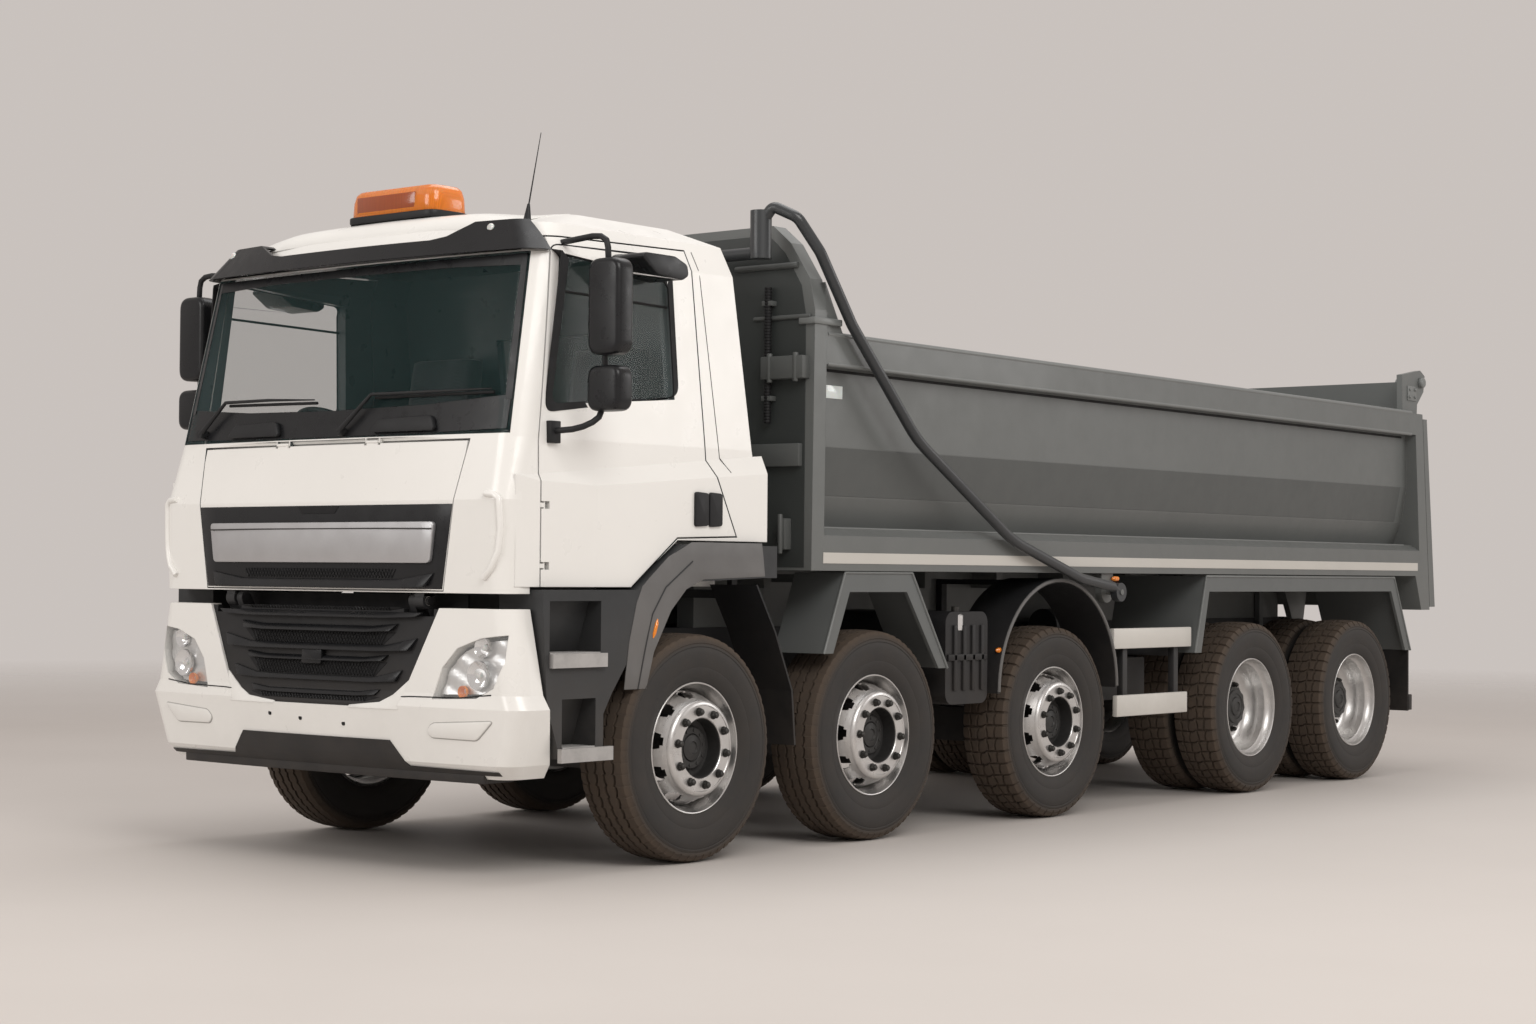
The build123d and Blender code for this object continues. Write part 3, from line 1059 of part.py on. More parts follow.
def cover_bow():
    """Curved arms on both sides, joined in front of the headboard by a straight bar."""
    ax = AXLE_1_X
    bar_x, bar_z = ax - 625, 2850
    # x, y, z down the left arm, from the sleeve's top to the pivot
    route = [(bar_x, 1050, 2990), (bar_x - 5, 1120, 3068), (ax - 668, 1240, 3010),
             (ax - 770, 1298, 2850), (ax - 1020, BOW_ARM_Y, 2520), (ax - 1560, BOW_ARM_Y, 1990),
             (ax - 2420, BOW_ARM_Y, 1500), (ax - 3100, BOW_ARM_Y, 1300),
             (BOW_PIVOT_X + 60, BOW_ARM_Y, BOW_PIVOT_Z + 30)]
    arm = bent_tube(route, [35, 70, 110, 300, 700, 900, 400], BOW_TUBE_R)
    sleeve = rod((bar_x, 1050, 2820), (bar_x, 1050, 3052), 52)
    eye = rod((BOW_PIVOT_X, 1282, BOW_PIVOT_Z), (BOW_PIVOT_X, 1324, BOW_PIVOT_Z), 52)
    link = rod((BOW_PIVOT_X, BOW_ARM_Y, BOW_PIVOT_Z), (BOW_PIVOT_X + 70, BOW_ARM_Y,
               BOW_PIVOT_Z + 32), BOW_TUBE_R - 4)
    arm = fuse(arm, sleeve, eye, link)
    arm = arm - rod((BOW_PIVOT_X, 1270, BOW_PIVOT_Z), (BOW_PIVOT_X, 1340, BOW_PIVOT_Z),
                    16 + RUN_GAP)
    bar = rod((bar_x, -1050, bar_z), (bar_x, 1050, bar_z), 30)
    return fuse(arm, flip(arm), bar)


# ------------------------------------------------------------------ hoist
def hoist():
    """Telescopic hoist: nodes from the barrel to the innermost stage, which has the eye."""
    base = Vector(HOIST_X, 0, HOIST_Z)
    eye = Vector(HOIST_EYE_X, 0, HOIST_EYE_Z)
    along = (eye - base).normalized()
    length = (eye - base).length

    def at(distance):
        point = base + along * distance
        return (point.X, point.Y, point.Z)

    nodes = {}
    # tube: outer radius, inner radius, low end, high end, all along the hoist's axis
    rows = [("hoist_barrel", 112, 96.5, -60, 1400), ("hoist_stage_1", 96, 80.5, -38, 1428),
            ("hoist_stage_2", 80, 64.5, -36, 1454), ("hoist_stage_3", 64, 48.5, -34, 1480),
            ("hoist_stage_4", 48, 0, -32, length - 20)]
    for name, outer, inner, low, high in rows:
        tube = rod(at(low), at(high), outer)
        if inner:
            tube = tube - rod(at(low - 5), at(high + 5), inner)
        nodes[name] = tube
    floor = rod(at(-70), at(-45), 112)
    pins = rod((HOIST_X, -156, HOIST_Z), (HOIST_X, 156, HOIST_Z), 30)
    pins = pins - rod(at(-100), at(100), 104)
    nodes["hoist_barrel"] = fuse(nodes["hoist_barrel"], floor, pins)
    head = rod((HOIST_EYE_X, -42, HOIST_EYE_Z), (HOIST_EYE_X, 42, HOIST_EYE_Z), 46)
    head = head - rod((HOIST_EYE_X, -50, HOIST_EYE_Z), (HOIST_EYE_X, 50, HOIST_EYE_Z), 24)
    nodes["hoist_stage_4"] = fuse(nodes["hoist_stage_4"], head)
    return nodes


# ------------------------------------------------------------------ write every node
def main():
    os.makedirs("parts", exist_ok=True)
    nodes = dict(wheels())
    for name, x in (("1", AXLE_1_X), ("2", AXLE_2_X)):
        nodes[f"knuckle_{name}_left"] = knuckle(x)
        nodes[f"knuckle_{name}_right"] = flip(knuckle(x))
    nodes.update({
        "chassis_frame": chassis_frame(), "axles": axles(), "leaf_springs": leaf_springs(),
        "powertrain": powertrain(), "front_bumper": front_bumper(),
        "lower_grille": lower_grille(), "headlamps": headlamps(), "step_wells": step_wells(),
        "step_treads": step_treads(), "grey_mudguards": grey_mudguards(),
        "black_mudguards": black_mudguards(), "side_guards": side_guards(),
        "side_tanks": side_tanks(), "rear_underrun": rear_underrun(),
        "cab_shell": cab_shell(), "cab_glass": cab_glass(), "dashboard": dashboard(),
        "seats": seats(), "sun_visor": sun_visor(), "roof_fittings": roof_fittings(),
        "front_hatch": front_hatch(), "bed": bed(), "tailgate": tailgate(),
        "cover_bow": cover_bow()})
    door, glass, mirror_set = doors(), door_glass(), mirrors()
    nodes.update({"door_left": door, "door_right": flip(door), "door_glass_left": glass,
                  "door_glass_right": flip(glass), "mirrors_left": mirror_set,
                  "mirrors_right": [flip(piece) for piece in mirror_set]})
    nodes.update(hoist())
    for node, item in nodes.items():
        write(node, item)


main()
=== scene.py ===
"""Looks of the five-axle dump truck: metres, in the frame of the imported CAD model.

+X is forward, +Y is the truck's left and +Z is up. Places along the truck are given forward
of axle 1, as at(x) or along(points), and details are laid on the CAD surfaces by casting
rays at them.
"""
import json
import math
import random
import bmesh
import bpy
from mathutils import Matrix, Vector
from mathutils.bvhtree import BVHTree

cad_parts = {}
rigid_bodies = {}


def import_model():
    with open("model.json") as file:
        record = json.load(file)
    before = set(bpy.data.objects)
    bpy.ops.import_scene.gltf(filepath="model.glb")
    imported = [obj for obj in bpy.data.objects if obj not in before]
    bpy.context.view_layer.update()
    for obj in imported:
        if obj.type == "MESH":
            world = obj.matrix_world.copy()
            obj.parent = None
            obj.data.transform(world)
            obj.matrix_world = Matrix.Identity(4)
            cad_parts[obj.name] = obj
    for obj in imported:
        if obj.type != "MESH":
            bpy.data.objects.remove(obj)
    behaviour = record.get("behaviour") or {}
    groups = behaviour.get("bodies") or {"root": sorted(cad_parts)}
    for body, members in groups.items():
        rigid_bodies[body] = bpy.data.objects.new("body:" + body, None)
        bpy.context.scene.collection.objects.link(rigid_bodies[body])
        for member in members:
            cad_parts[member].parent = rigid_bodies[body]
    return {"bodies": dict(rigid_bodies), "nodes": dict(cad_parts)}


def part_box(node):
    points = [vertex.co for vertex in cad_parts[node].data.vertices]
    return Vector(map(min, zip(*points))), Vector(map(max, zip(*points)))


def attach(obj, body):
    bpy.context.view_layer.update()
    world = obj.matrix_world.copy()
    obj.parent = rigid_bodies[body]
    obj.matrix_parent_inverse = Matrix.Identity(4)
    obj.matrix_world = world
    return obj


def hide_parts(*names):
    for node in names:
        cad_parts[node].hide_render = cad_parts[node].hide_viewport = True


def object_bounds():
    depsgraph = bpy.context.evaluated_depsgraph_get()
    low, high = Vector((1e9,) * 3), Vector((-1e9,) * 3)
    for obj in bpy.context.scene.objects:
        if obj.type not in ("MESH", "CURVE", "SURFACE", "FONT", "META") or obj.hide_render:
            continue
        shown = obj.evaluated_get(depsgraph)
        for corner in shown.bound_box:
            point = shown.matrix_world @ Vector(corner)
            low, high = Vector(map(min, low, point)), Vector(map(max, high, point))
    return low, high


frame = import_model()
CAD_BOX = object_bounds()
NODES = frame["nodes"]

# ------------------------------------------------------------------ sizes from the frame
FRONT = {"+x": Vector((-1, 0, 0)), "-x": Vector((1, 0, 0)), "+y": Vector((0, -1, 0)),
         "-y": Vector((0, 1, 0)), "+z": Vector((0, 0, -1))}


def centre_of(node):
    low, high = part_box(node)
    return (low + high) / 2


AXLES = {name: centre_of(f"tyre_{name}_left").x for name in "12345"}
AXLE_1_X = AXLES["1"]
TYRE_R = centre_of("tyre_1_left").z
TYRE_W = (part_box("tyre_1_left")[1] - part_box("tyre_1_left")[0]).y
TWIN_PITCH = 0.325  # between the two wheels of a pair
SIDES = (("left", 1), ("right", -1))
SHARP = 38  # an edge that turns by more degrees than this isn't smoothed


def at(x):
    """Row-frame X of a place given forward of axle 1."""
    return AXLE_1_X + x


def along(points):
    """Points (x, z), with x given forward of axle 1, in the row frame."""
    return [(at(x), z) for x, z in points]


def rect(u0, u1, v0, v1):
    return [(u0, v0), (u1, v0), (u1, v1), (u0, v1)]


# ------------------------------------------------------------------ materials
M = {}  # every finish by its name
GRAIN = 650.0  # scale of the leather-like grain of moulded plastics
DUST_FULL = 0.2  # below this height the road dust is at its thickest


class Look:
    """One material, and the node steps that its finish is built from."""

    def __init__(self, name, source=None):
        self.material = source.copy() if source else bpy.data.materials.new(name)
        self.material.name = name
        self.material.use_nodes = True
        self.tree = self.material.node_tree
        self.shader = self.tree.nodes["Principled BSDF"]
        M[name] = self.material

    def feed(self, sockets, values):
        """Links or sets inputs by their names or places."""
        for key, value in values.items():
            if hasattr(value, "links"):
                self.tree.links.new(value, sockets[key])
            else:
                sockets[key].default_value = value

    def shade(self, values):
        self.feed(self.shader.inputs, values)

    def add(self, kind, values, **settings):
        """Adds a node and gives its outputs."""
        node = self.tree.nodes.new(f"ShaderNode{kind}")
        for key, value in settings.items():
            setattr(node, key, value)
        self.feed(node.inputs, values)
        return node.outputs

    def place(self):
        return self.add("TexCoord", {})["Object"]

    def coords(self, scale=(1, 1, 1)):
        return self.add("Mapping", {"Vector": self.place(), "Scale": scale})["Vector"]

    def noise(self, vector, scale, detail=4.0, roughness=0.55):
        return self.add("TexNoise", {"Vector": vector, "Scale": scale, "Detail": detail,
                                     "Roughness": roughness})["Fac"]

    def ramp(self, source, low, high, out_low=0.0, out_high=1.0):
        return self.add("MapRange", {"Value": source, "From Min": low, "From Max": high,
                                     "To Min": out_low, "To Max": out_high})["Result"]

    def mottle(self, vector, scale, detail, out_low=0.0, out_high=1.0, low=0.3, high=0.7,
               roughness=0.55):
        """Noise stretched between two values."""
        return self.ramp(self.noise(vector, scale, detail, roughness), low, high, out_low, out_high)

    def blend(self, factor, first, second):
        first, second = (c if hasattr(c, "links") else (*c, 1.0) for c in (first, second))
        return self.add("Mix", {"Factor": factor, 6: first, 7: second}, data_type="RGBA")[2]

    def multiply(self, first, second):
        return self.add("Math", {0: first, 1: second}, operation="MULTIPLY")["Value"]

    def length(self, vector):
        return self.add("VectorMath", {0: vector}, operation="LENGTH")["Value"]

    def bump(self, height, strength, distance, edge=0.0):
        """Surface grain; an edge width also rounds the model's sharp edges."""
        values = {"Height": height, "Strength": strength, "Distance": distance}
        if edge:
            values["Normal"] = self.add("Bevel", {"Radius": edge}, samples=4)["Normal"]
        self.shade({"Normal": self.add("Bump", values)["Normal"]})

    def dusted(self, base, color, amount, top, patches):
        """Road dust in patches, thickest near the ground and gone at the given height."""
        height = self.add("SeparateXYZ", {"Vector": self.place()})["Z"]
        near = self.ramp(height, DUST_FULL, top, 1.0, 0.0)
        return self.blend(self.multiply(self.multiply(near, patches), amount), base, color)


def shaded(color, share):
    return tuple(c * share for c in color)


def paint(name, color, rough, coat=0.0, dust=0.0, dust_top=1.3, speck=900.0, bump=0.02,
          variation=0.08, dust_color=(0.21, 0.18, 0.15)):
    """Sprayed finish: faint mottling, orange-peel bump, uneven gloss and road dust low down."""
    look = Look(name)
    vector = look.coords()
    base = look.blend(look.mottle(vector, 1.7, 5), color, shaded(color, 1 - variation))
    if dust:
        patches = look.mottle(vector, 6.0, 8, 0.15, 1.0, 0.32, 0.68, 0.7)
        base = look.dusted(base, dust_color, dust, dust_top, patches)
    look.shade({"Base Color": base, "Coat Weight": coat, "Coat Roughness": 0.08,
                "Roughness": look.mottle(vector, 9.0, 6, rough - 0.06, rough + 0.08)})
    look.bump(look.noise(vector, speck, 2), bump, 0.002, 0.004)


def moulded(name, color, rough, bump=0.25, dust=0.0, dust_top=1.2):
    """Moulded plastic with a fine leather-like grain."""
    look = Look(name)
    vector = look.coords()
    grain = look.add("TexVoronoi", {"Vector": vector, "Scale": GRAIN})["Distance"]
    base = look.blend(look.mottle(vector, 3.0, 6), color, shaded(color, 0.78))
    if dust:
        patches = look.mottle(vector, 7.0, 8, 0.2, 1.0, 0.3, 0.7, 0.7)
        base = look.dusted(base, (0.16, 0.13, 0.105), dust, dust_top, patches)
    look.shade({"Base Color": base, "Specular IOR Level": 0.3,
                "Roughness": look.mottle(vector, 14.0, 5, rough - 0.07, rough + 0.08)})
    look.bump(grain, bump, 0.0006, 0.003)


def rubber(name, side_color, tread_color, tread_r, side_r):
    """Tyre rubber: dusty brown tread that fades into a darker sidewall with a faint film."""
    look = Look(name)
    split = look.add("SeparateXYZ", {"Vector": look.place()})
    radius = look.length(look.add("CombineXYZ", {"X": split["X"], "Z": split["Z"]})["Vector"])
    vector = look.coords()
    patches = look.mottle(vector, 16.0, 8, 0.55, 1.0, 0.25, 0.75, 0.65)
    mask = look.multiply(look.ramp(radius, side_r, tread_r), patches)
    film = look.mottle(vector, 5.0, 7, 0.0, 0.55, 0.35, 0.75, 0.7)
    brown = tuple((a * 2 + b) / 3 for a, b in zip(side_color, tread_color))
    base = look.blend(mask, look.blend(film, side_color, brown), tread_color)
    look.shade({"Base Color": base, "Specular IOR Level": 0.35,
                "Roughness": look.ramp(mask, 0.0, 1.0, 0.62, 0.9)})
    look.bump(look.noise(vector, 260.0, 4), 0.35, 0.002)


def bare_metal(name, color, rough, streak=(60, 4, 60), bump=0.05, grime=0.25, metallic=1.0):
    """Machined or cast light metal with fine streaks and grime in patches."""
    look = Look(name)
    fine = look.noise(look.coords(streak), 6.0, 6)
    patches = look.mottle(look.coords(), 11.0, 8, 0.0, grime, 0.42, 0.8, 0.7)
    look.shade({"Base Color": look.blend(patches, color, shaded(color, 0.32)),
                "Metallic": metallic,
                "Roughness": look.ramp(fine, 0.3, 0.7, rough - 0.08, rough + 0.1)})
    look.bump(fine, bump, 0.001)


def tinted_glass(name, color, alpha):
    """Tinted pane that shows what lies behind it, slightly smeared."""
    look = Look(name)
    vector = look.coords()
    look.shade({"Base Color": look.blend(look.mottle(vector, 0.8, 3), color, shaded(color, 0.86)),
                "Roughness": look.mottle(vector, 2.4, 6, 0.03, 0.08, 0.3, 0.75, 0.7),
                "Alpha": alpha, "IOR": 1.5})
    look.material.surface_render_method = "BLENDED"


def lamp_plastic(name, color, glow=0.0, alpha=1.0):
    """Fluted plastic, which may glow faintly or be partly clear."""
    look = Look(name)
    lines = look.mottle(look.coords((1, 90, 1)), 3.0, 2)
    look.shade({"Base Color": look.blend(lines, color, shaded(color, 0.72)), "Roughness": 0.16,
                "Coat Weight": 0.5, "Alpha": alpha, "Subsurface Weight": 0.15,
                "Emission Color": (*color, 1.0), "Emission Strength": glow})
    if alpha < 1.0:
        look.material.surface_render_method = "BLENDED"


def woven(name, color):
    """Seat cloth: crossed threads from two wave textures."""
    look = Look(name)
    wave = {"Vector": look.coords(), "Scale": 140.0, "Distortion": 0.6}
    cloth = look.multiply(*(look.add("TexWave", wave, bands_direction=way)["Fac"] for way in "XZ"))
    look.shade({"Base Color": look.blend(cloth, shaded(color, 0.6), color), "Roughness": 0.92,
                "Sheen Weight": 0.3})
    look.bump(cloth, 0.5, 0.001)


paint("cab_paint", (0.83, 0.82, 0.79), 0.32, coat=0.35, dust=0.10, dust_top=1.1, variation=0.03)
paint("bed_grey", (0.125, 0.133, 0.130), 0.44, coat=0.1, dust=0.18, dust_top=1.9)
# painted shade: darker copy of the bed grey for the downward-leaning facet and the fittings on the
# shaded headboard
paint("bed_dark", (0.085, 0.091, 0.089), 0.48, dust=0.18, dust_top=1.9)
# painted shade: near-black copy of the bed grey for the headboard's shaded front face
paint("headboard_dark", (0.034, 0.039, 0.038), 0.46, dust=0.12, dust_top=1.9)
# painted shade: darker copy of the cab paint for the shade in the bumper pocket's groove
paint("groove", (0.40, 0.39, 0.37), 0.5)
paint("arm_black", (0.026, 0.029, 0.032), 0.38, coat=0.15)
# painted highlight: lighter copy of the bed grey for raised rails, ledges, beads, caps and edges
paint("bed_light", (0.165, 0.174, 0.171), 0.42, coat=0.1)
paint("guard_grey", (0.115, 0.123, 0.122), 0.45, dust=0.25, dust_top=1.2)
paint("chassis_paint", (0.020, 0.0205, 0.022), 0.55, dust=0.35, dust_top=1.1,
      dust_color=(0.075, 0.062, 0.052))
paint("cast_parts", (0.026, 0.026, 0.027), 0.6, dust=0.45, dust_top=1.0, bump=0.3, speck=240.0,
      dust_color=(0.085, 0.07, 0.057))
paint("rail_white", (0.62, 0.60, 0.56), 0.42, dust=0.22, dust_top=1.1)
paint("strip", (0.56, 0.54, 0.50), 0.40)
moulded("black_plastic", (0.016, 0.0165, 0.018), 0.5, dust=0.25)
moulded("step_plastic", (0.040, 0.042, 0.044), 0.5, dust=0.3)
moulded("arch_plastic", (0.150, 0.148, 0.147), 0.50, dust=0.35, dust_top=1.5)
moulded("gloss_black", (0.012, 0.0125, 0.014), 0.3, bump=0.05)
moulded("rubber_seal", (0.010, 0.010, 0.011), 0.6)
# painted shade: near-black for the shade behind grille meshes and in recesses, holes and gaps
moulded("mesh_black", (0.006, 0.006, 0.007), 0.6)
bare_metal("badge", (0.50, 0.50, 0.51), 0.36, streak=(1, 1, 1), grime=0.08, metallic=0.75)
bare_metal("rim_silver", (0.62, 0.61, 0.60), 0.33, streak=(4, 40, 4), metallic=0.9)
bare_metal("nut_dark", (0.06, 0.058, 0.055), 0.5, grime=0.4, metallic=0.7)
bare_metal("hub_dark", (0.05, 0.049, 0.048), 0.5, grime=0.5, metallic=0.5)
bare_metal("tread_aluminium", (0.47, 0.46, 0.45), 0.5, streak=(1, 1, 1), grime=0.35,
           metallic=0.65, bump=0.3)
bare_metal("chrome", (0.85, 0.85, 0.86), 0.1, streak=(1, 1, 1), grime=0.05)
bare_metal("reflector", (0.72, 0.72, 0.72), 0.34, streak=(1, 30, 1), grime=0.05, metallic=0.85)
bare_metal("hoist_chrome", (0.6, 0.6, 0.62), 0.22, streak=(1, 1, 40), grime=0.3)
rubber("steer_tyre", (0.026, 0.0245, 0.0235), (0.085, 0.062, 0.045), 0.50, 0.462)
tinted_glass("glazing", (0.040, 0.095, 0.095), 0.11)
tinted_glass("side_glazing", (0.030, 0.062, 0.058), 0.14)
tinted_glass("lamp_glass", (0.75, 0.76, 0.75), 0.20)
lamp_plastic("amber_lamp", (0.92, 0.26, 0.012), 0.03)
# painted shade: a deeper amber for the beacon's shaded front end
lamp_plastic("amber_deep", (0.34, 0.062, 0.006))
lamp_plastic("amber_clear", (0.90, 0.235, 0.008), alpha=0.78)
lamp_plastic("red_lamp", (0.45, 0.012, 0.01))
lamp_plastic("white_lamp", (0.75, 0.75, 0.73))
woven("seat_fabric", (0.055, 0.058, 0.062))


# ------------------------------------------------------------------ mesh tools
def finish_piece(piece, body, material, replaces=()):
    """Gives a piece its finish and its body, and hides the CAD nodes that it replaces."""
    materials = material if isinstance(material, (list, tuple)) else [material]
    for name in materials:
        piece.data.materials.append(M[name])
    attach(piece, body)
    if replaces:
        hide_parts(*replaces)
    return piece


def object_from(name, bm, smooth_angle=None):
    """An object with the bmesh's faces, smooth up to an angle where one is given."""
    mesh = bpy.data.meshes.new(name)
    bm.normal_update()
    bm.to_mesh(mesh)
    bm.free()
    piece = bpy.data.objects.new(name, mesh)
    bpy.context.scene.collection.objects.link(piece)
    if smooth_angle is not None:
        mesh.shade_smooth()
        mesh.set_sharp_from_angle(angle=math.radians(smooth_angle))
    return piece


def bevelled(piece, width, segments=2):
    """Rounds the edges of a piece, with the rounds made part of its mesh."""
    bevel = piece.modifiers.new("bevel", "BEVEL")
    bevel.width = width
    bevel.segments = segments
    bevel.limit_method = "ANGLE"
    depsgraph = bpy.context.evaluated_depsgraph_get()
    old = piece.data
    piece.data = bpy.data.meshes.new_from_object(piece.evaluated_get(depsgraph))
    piece.modifiers.clear()
    bpy.data.meshes.remove(old)
    piece.data.shade_smooth()
    piece.data.set_sharp_from_angle(angle=math.radians(SHARP))


def add_mirrored(bm, faces):
    """Adds the right-hand copy of faces made on the left."""
    copy = bmesh.ops.duplicate(bm, geom=faces)["geom"]
    verts = [e for e in copy if isinstance(e, bmesh.types.BMVert)]
    bmesh.ops.scale(bm, vec=(1, -1, 1), verts=verts)
    bmesh.ops.reverse_faces(bm, faces=[e for e in copy if isinstance(e, bmesh.types.BMFace)])


def circle(count, radius):
    turns = [2 * math.pi * k / count for k in range(count)]
    return [(radius * math.cos(turn), radius * math.sin(turn)) for turn in turns]


class Form:
    """Collects the solids of one piece in a bmesh."""

    def __init__(self, bm=None):
        self.bm = bmesh.new() if bm is None else bm
        self.index = 0

    def face(self, corners):
        self.bm.faces.new(corners).material_index = self.index

    def walls(self, rings):
        """Faces between rings of vertices that follow each other."""
        for first, second in zip(rings, rings[1:]):
            for k in range(len(first)):
                n = (k + 1) % len(first)
                self.face((first[k], first[n], second[n], second[k]))
        return self

    def cap(self, rings):
        self.face(rings[0][::-1])
        self.face(rings[-1])
        return self

    def prism(self, points, axis, low, high):
        """Outline carried along an axis. Outlines are (y, z), (x, z) or (x, y)."""
        order = {"x": lambda u, v, w: (w, u, v), "y": lambda u, v, w: (u, w, v),
                 "z": lambda u, v, w: (u, v, w)}[axis]
        rings = [[self.bm.verts.new(order(u, v, w)) for u, v in points] for w in (low, high)]
        return self.cap(rings).walls(rings)

    def block(self, x0, x1, y0, y1, z0, z1):
        return self.prism(rect(x0, x1, y0, y1), "z", z0, z1)

    def side_block(self, sign, x0, x1, y0, y1, z0, z1):
        """Block on the left (1) or right (-1), with x given forward of axle 1."""
        low, high = sorted((sign * y0, sign * y1))
        return self.block(at(x0), at(x1), low, high, z0, z1)

    def revolve(self, profile, centre=(0, 0, 0), axis="y", steps=48, close=True):
        """Profile rows are (radius, place along the axis), turned about the axis."""
        turn = {"y": lambda r, a, w: (r * math.cos(a), w, r * math.sin(a)),
                "x": lambda r, a, w: (w, r * math.cos(a), r * math.sin(a)),
                "z": lambda r, a, w: (r * math.cos(a), r * math.sin(a), w)}[axis]
        centre = Vector(centre)
        angles = [2 * math.pi * k / steps for k in range(steps)]
        columns = []
        for r, w in profile:
            if r:
                columns.append([self.bm.verts.new(centre + Vector(turn(r, a, w))) for a in angles])
            else:
                columns.append([self.bm.verts.new(centre + Vector(turn(0, 0, w)))] * steps)
        if close:
            columns.append(columns[0])
        for first, second in zip(columns, columns[1:]):
            for k in range(steps):
                n = (k + 1) % steps
                corners = dict.fromkeys((first[k], first[n], second[n], second[k]))
                if len(corners) > 2:
                    self.face(tuple(corners))
        return self

    def tube(self, path, radius, sides=12):
        """Round tube along points; the radius may be one number or one for each point."""
        points = [Vector(p) for p in path]
        radii = radius if isinstance(radius, (list, tuple)) else [radius] * len(points)
        rings = []
        normal = None
        for i, point in enumerate(points):
            before, after = points[max(i - 1, 0)], points[min(i + 1, len(points) - 1)]
            ahead = (after - before).normalized()
            if normal is None:
                helper = Vector((0, 0, 1)) if abs(ahead.z) < 0.9 else Vector((1, 0, 0))
                normal = ahead.cross(helper).normalized()
            normal = (normal - ahead * normal.dot(ahead)).normalized()
            side = ahead.cross(normal)
            rings.append([self.bm.verts.new(point + radii[i] * (u * normal + v * side))
                          for u, v in circle(sides, 1.0)])
        return self.walls(rings).cap(rings)

    def rod(self, start, end, radius, sides=16):
        return self.tube([start, end], radius, sides)

    def mirrored(self):
        """Adds the right-hand copy of what has been added."""
        add_mirrored(self.bm, self.bm.faces[:])
        return self

    def piece(self, name, body, slot, material, bevel=0, segments=2, replaces=()):
        bmesh.ops.recalc_face_normals(self.bm, faces=self.bm.faces)
        piece = object_from(name, self.bm, SHARP)
        if bevel:
            bevelled(piece, bevel, segments)
        return finish_piece(piece, body, material, replaces)


ARC_SHARE = 0.48  # of a side, for the arc at each of its ends


def rounded(points, radius, steps=4):
    """Outline with each corner replaced by an arc."""
    result = []
    count = len(points)
    radii = radius if isinstance(radius, (list, tuple)) else [radius] * count
    for i, corner in enumerate(points):
        here = Vector(corner)
        before = Vector(points[i - 1]) - here
        after = Vector(points[(i + 1) % count]) - here
        reach = min(radii[i], before.length * ARC_SHARE, after.length * ARC_SHARE)
        if reach < 1e-5:
            result.append(tuple(here))
            continue
        start = here + before.normalized() * reach
        end = here + after.normalized() * reach
        for k in range(steps + 1):
            t = k / steps
            result.append(tuple((1 - t) ** 2 * start + 2 * t * (1 - t) * here + t * t * end))
    return result


def tree_of(*nodes):
    """Ray target made of CAD nodes."""
    verts, faces = [], []
    for node in nodes:
        mesh = NODES[node].data
        offset = len(verts)
        verts += [v.co.copy() for v in mesh.vertices]
        faces += [[offset + i for i in p.vertices] for p in mesh.polygons]
    return BVHTree.FromPolygons(verts, faces)


class Skin:
    """A surface that details are laid on, seen from one side."""

    def __init__(self, side, nodes, fallback=None):
        self.side = side
        self.ray = FRONT[side]
        self.tree = tree_of(*nodes)
        self.axis = side[1]
        self.fallback = fallback

    def lay(self, u, v, lift=0.0):
        """Point of the surface over (u, v), moved out by the lift."""
        far = 20.0
        spot = {"x": Vector((0, u, v)), "y": Vector((u, 0, v)), "z": Vector((u, v, 0))}[self.axis]
        start = spot - self.ray * far
        hit = self.tree.ray_cast(start, self.ray)[0]
        if hit is None:
            if self.fallback is None:
                raise ValueError(f"no surface at {u:.3f}, {v:.3f} from {self.side}")
            hit = spot.copy()
            setattr(hit, self.axis, self.fallback)
        return hit - self.ray * lift


def side_skins(fallback, *nodes):
    """A skin for each side; "{}" in a node's name stands for the side."""
    return {side: Skin("+y" if sign > 0 else "-y", [node.format(side) for node in nodes],
                       sign * fallback) for side, sign in SIDES}


def cells(outline, step):
    """Flat mesh of an outline cut into squares of about one step."""
    bm = bmesh.new()
    bm.faces.new([bm.verts.new((u, v, 0)) for u, v in outline])
    for axis in (0, 1):
        low = min(p[axis] for p in outline)
        high = max(p[axis] for p in outline)
        count = max(int((high - low) / step), 1)
        normal = Vector((1, 0, 0)) if axis == 0 else Vector((0, 1, 0))
        for k in range(1, count):
            place = low + (high - low) * k / count
            bmesh.ops.bisect_plane(bm, geom=bm.verts[:] + bm.edges[:] + bm.faces[:],
                                   plane_co=normal * place, plane_no=normal)
    return bm


def panel(name, skin, outline, body, material, lift=0.001, thick=0.004, step=0.05,
          bevel=0.0015, mirror=False, shape=None):
    """A thin panel laid on a surface; shape(u, v) adds to its height."""
    bm = cells(outline, step)
    for vert in bm.verts:
        u, v = vert.co.x, vert.co.y
        vert.co = skin.lay(u, v, lift + (shape(u, v) if shape else 0.0))
    low = bmesh.ops.duplicate(bm, geom=bm.faces[:])
    under = [e for e in low["geom"] if isinstance(e, bmesh.types.BMVert)]
    bmesh.ops.translate(bm, verts=under, vec=skin.ray * thick)
    bmesh.ops.bridge_loops(bm, edges=[e for e in bm.edges if e.is_boundary])
    bmesh.ops.recalc_face_normals(bm, faces=bm.faces)
    if mirror:
        add_mirrored(bm, bm.faces[:])
    piece = object_from(name, bm, SHARP)
    if bevel:
        bevelled(piece, bevel)
    return finish_piece(piece, body, material)


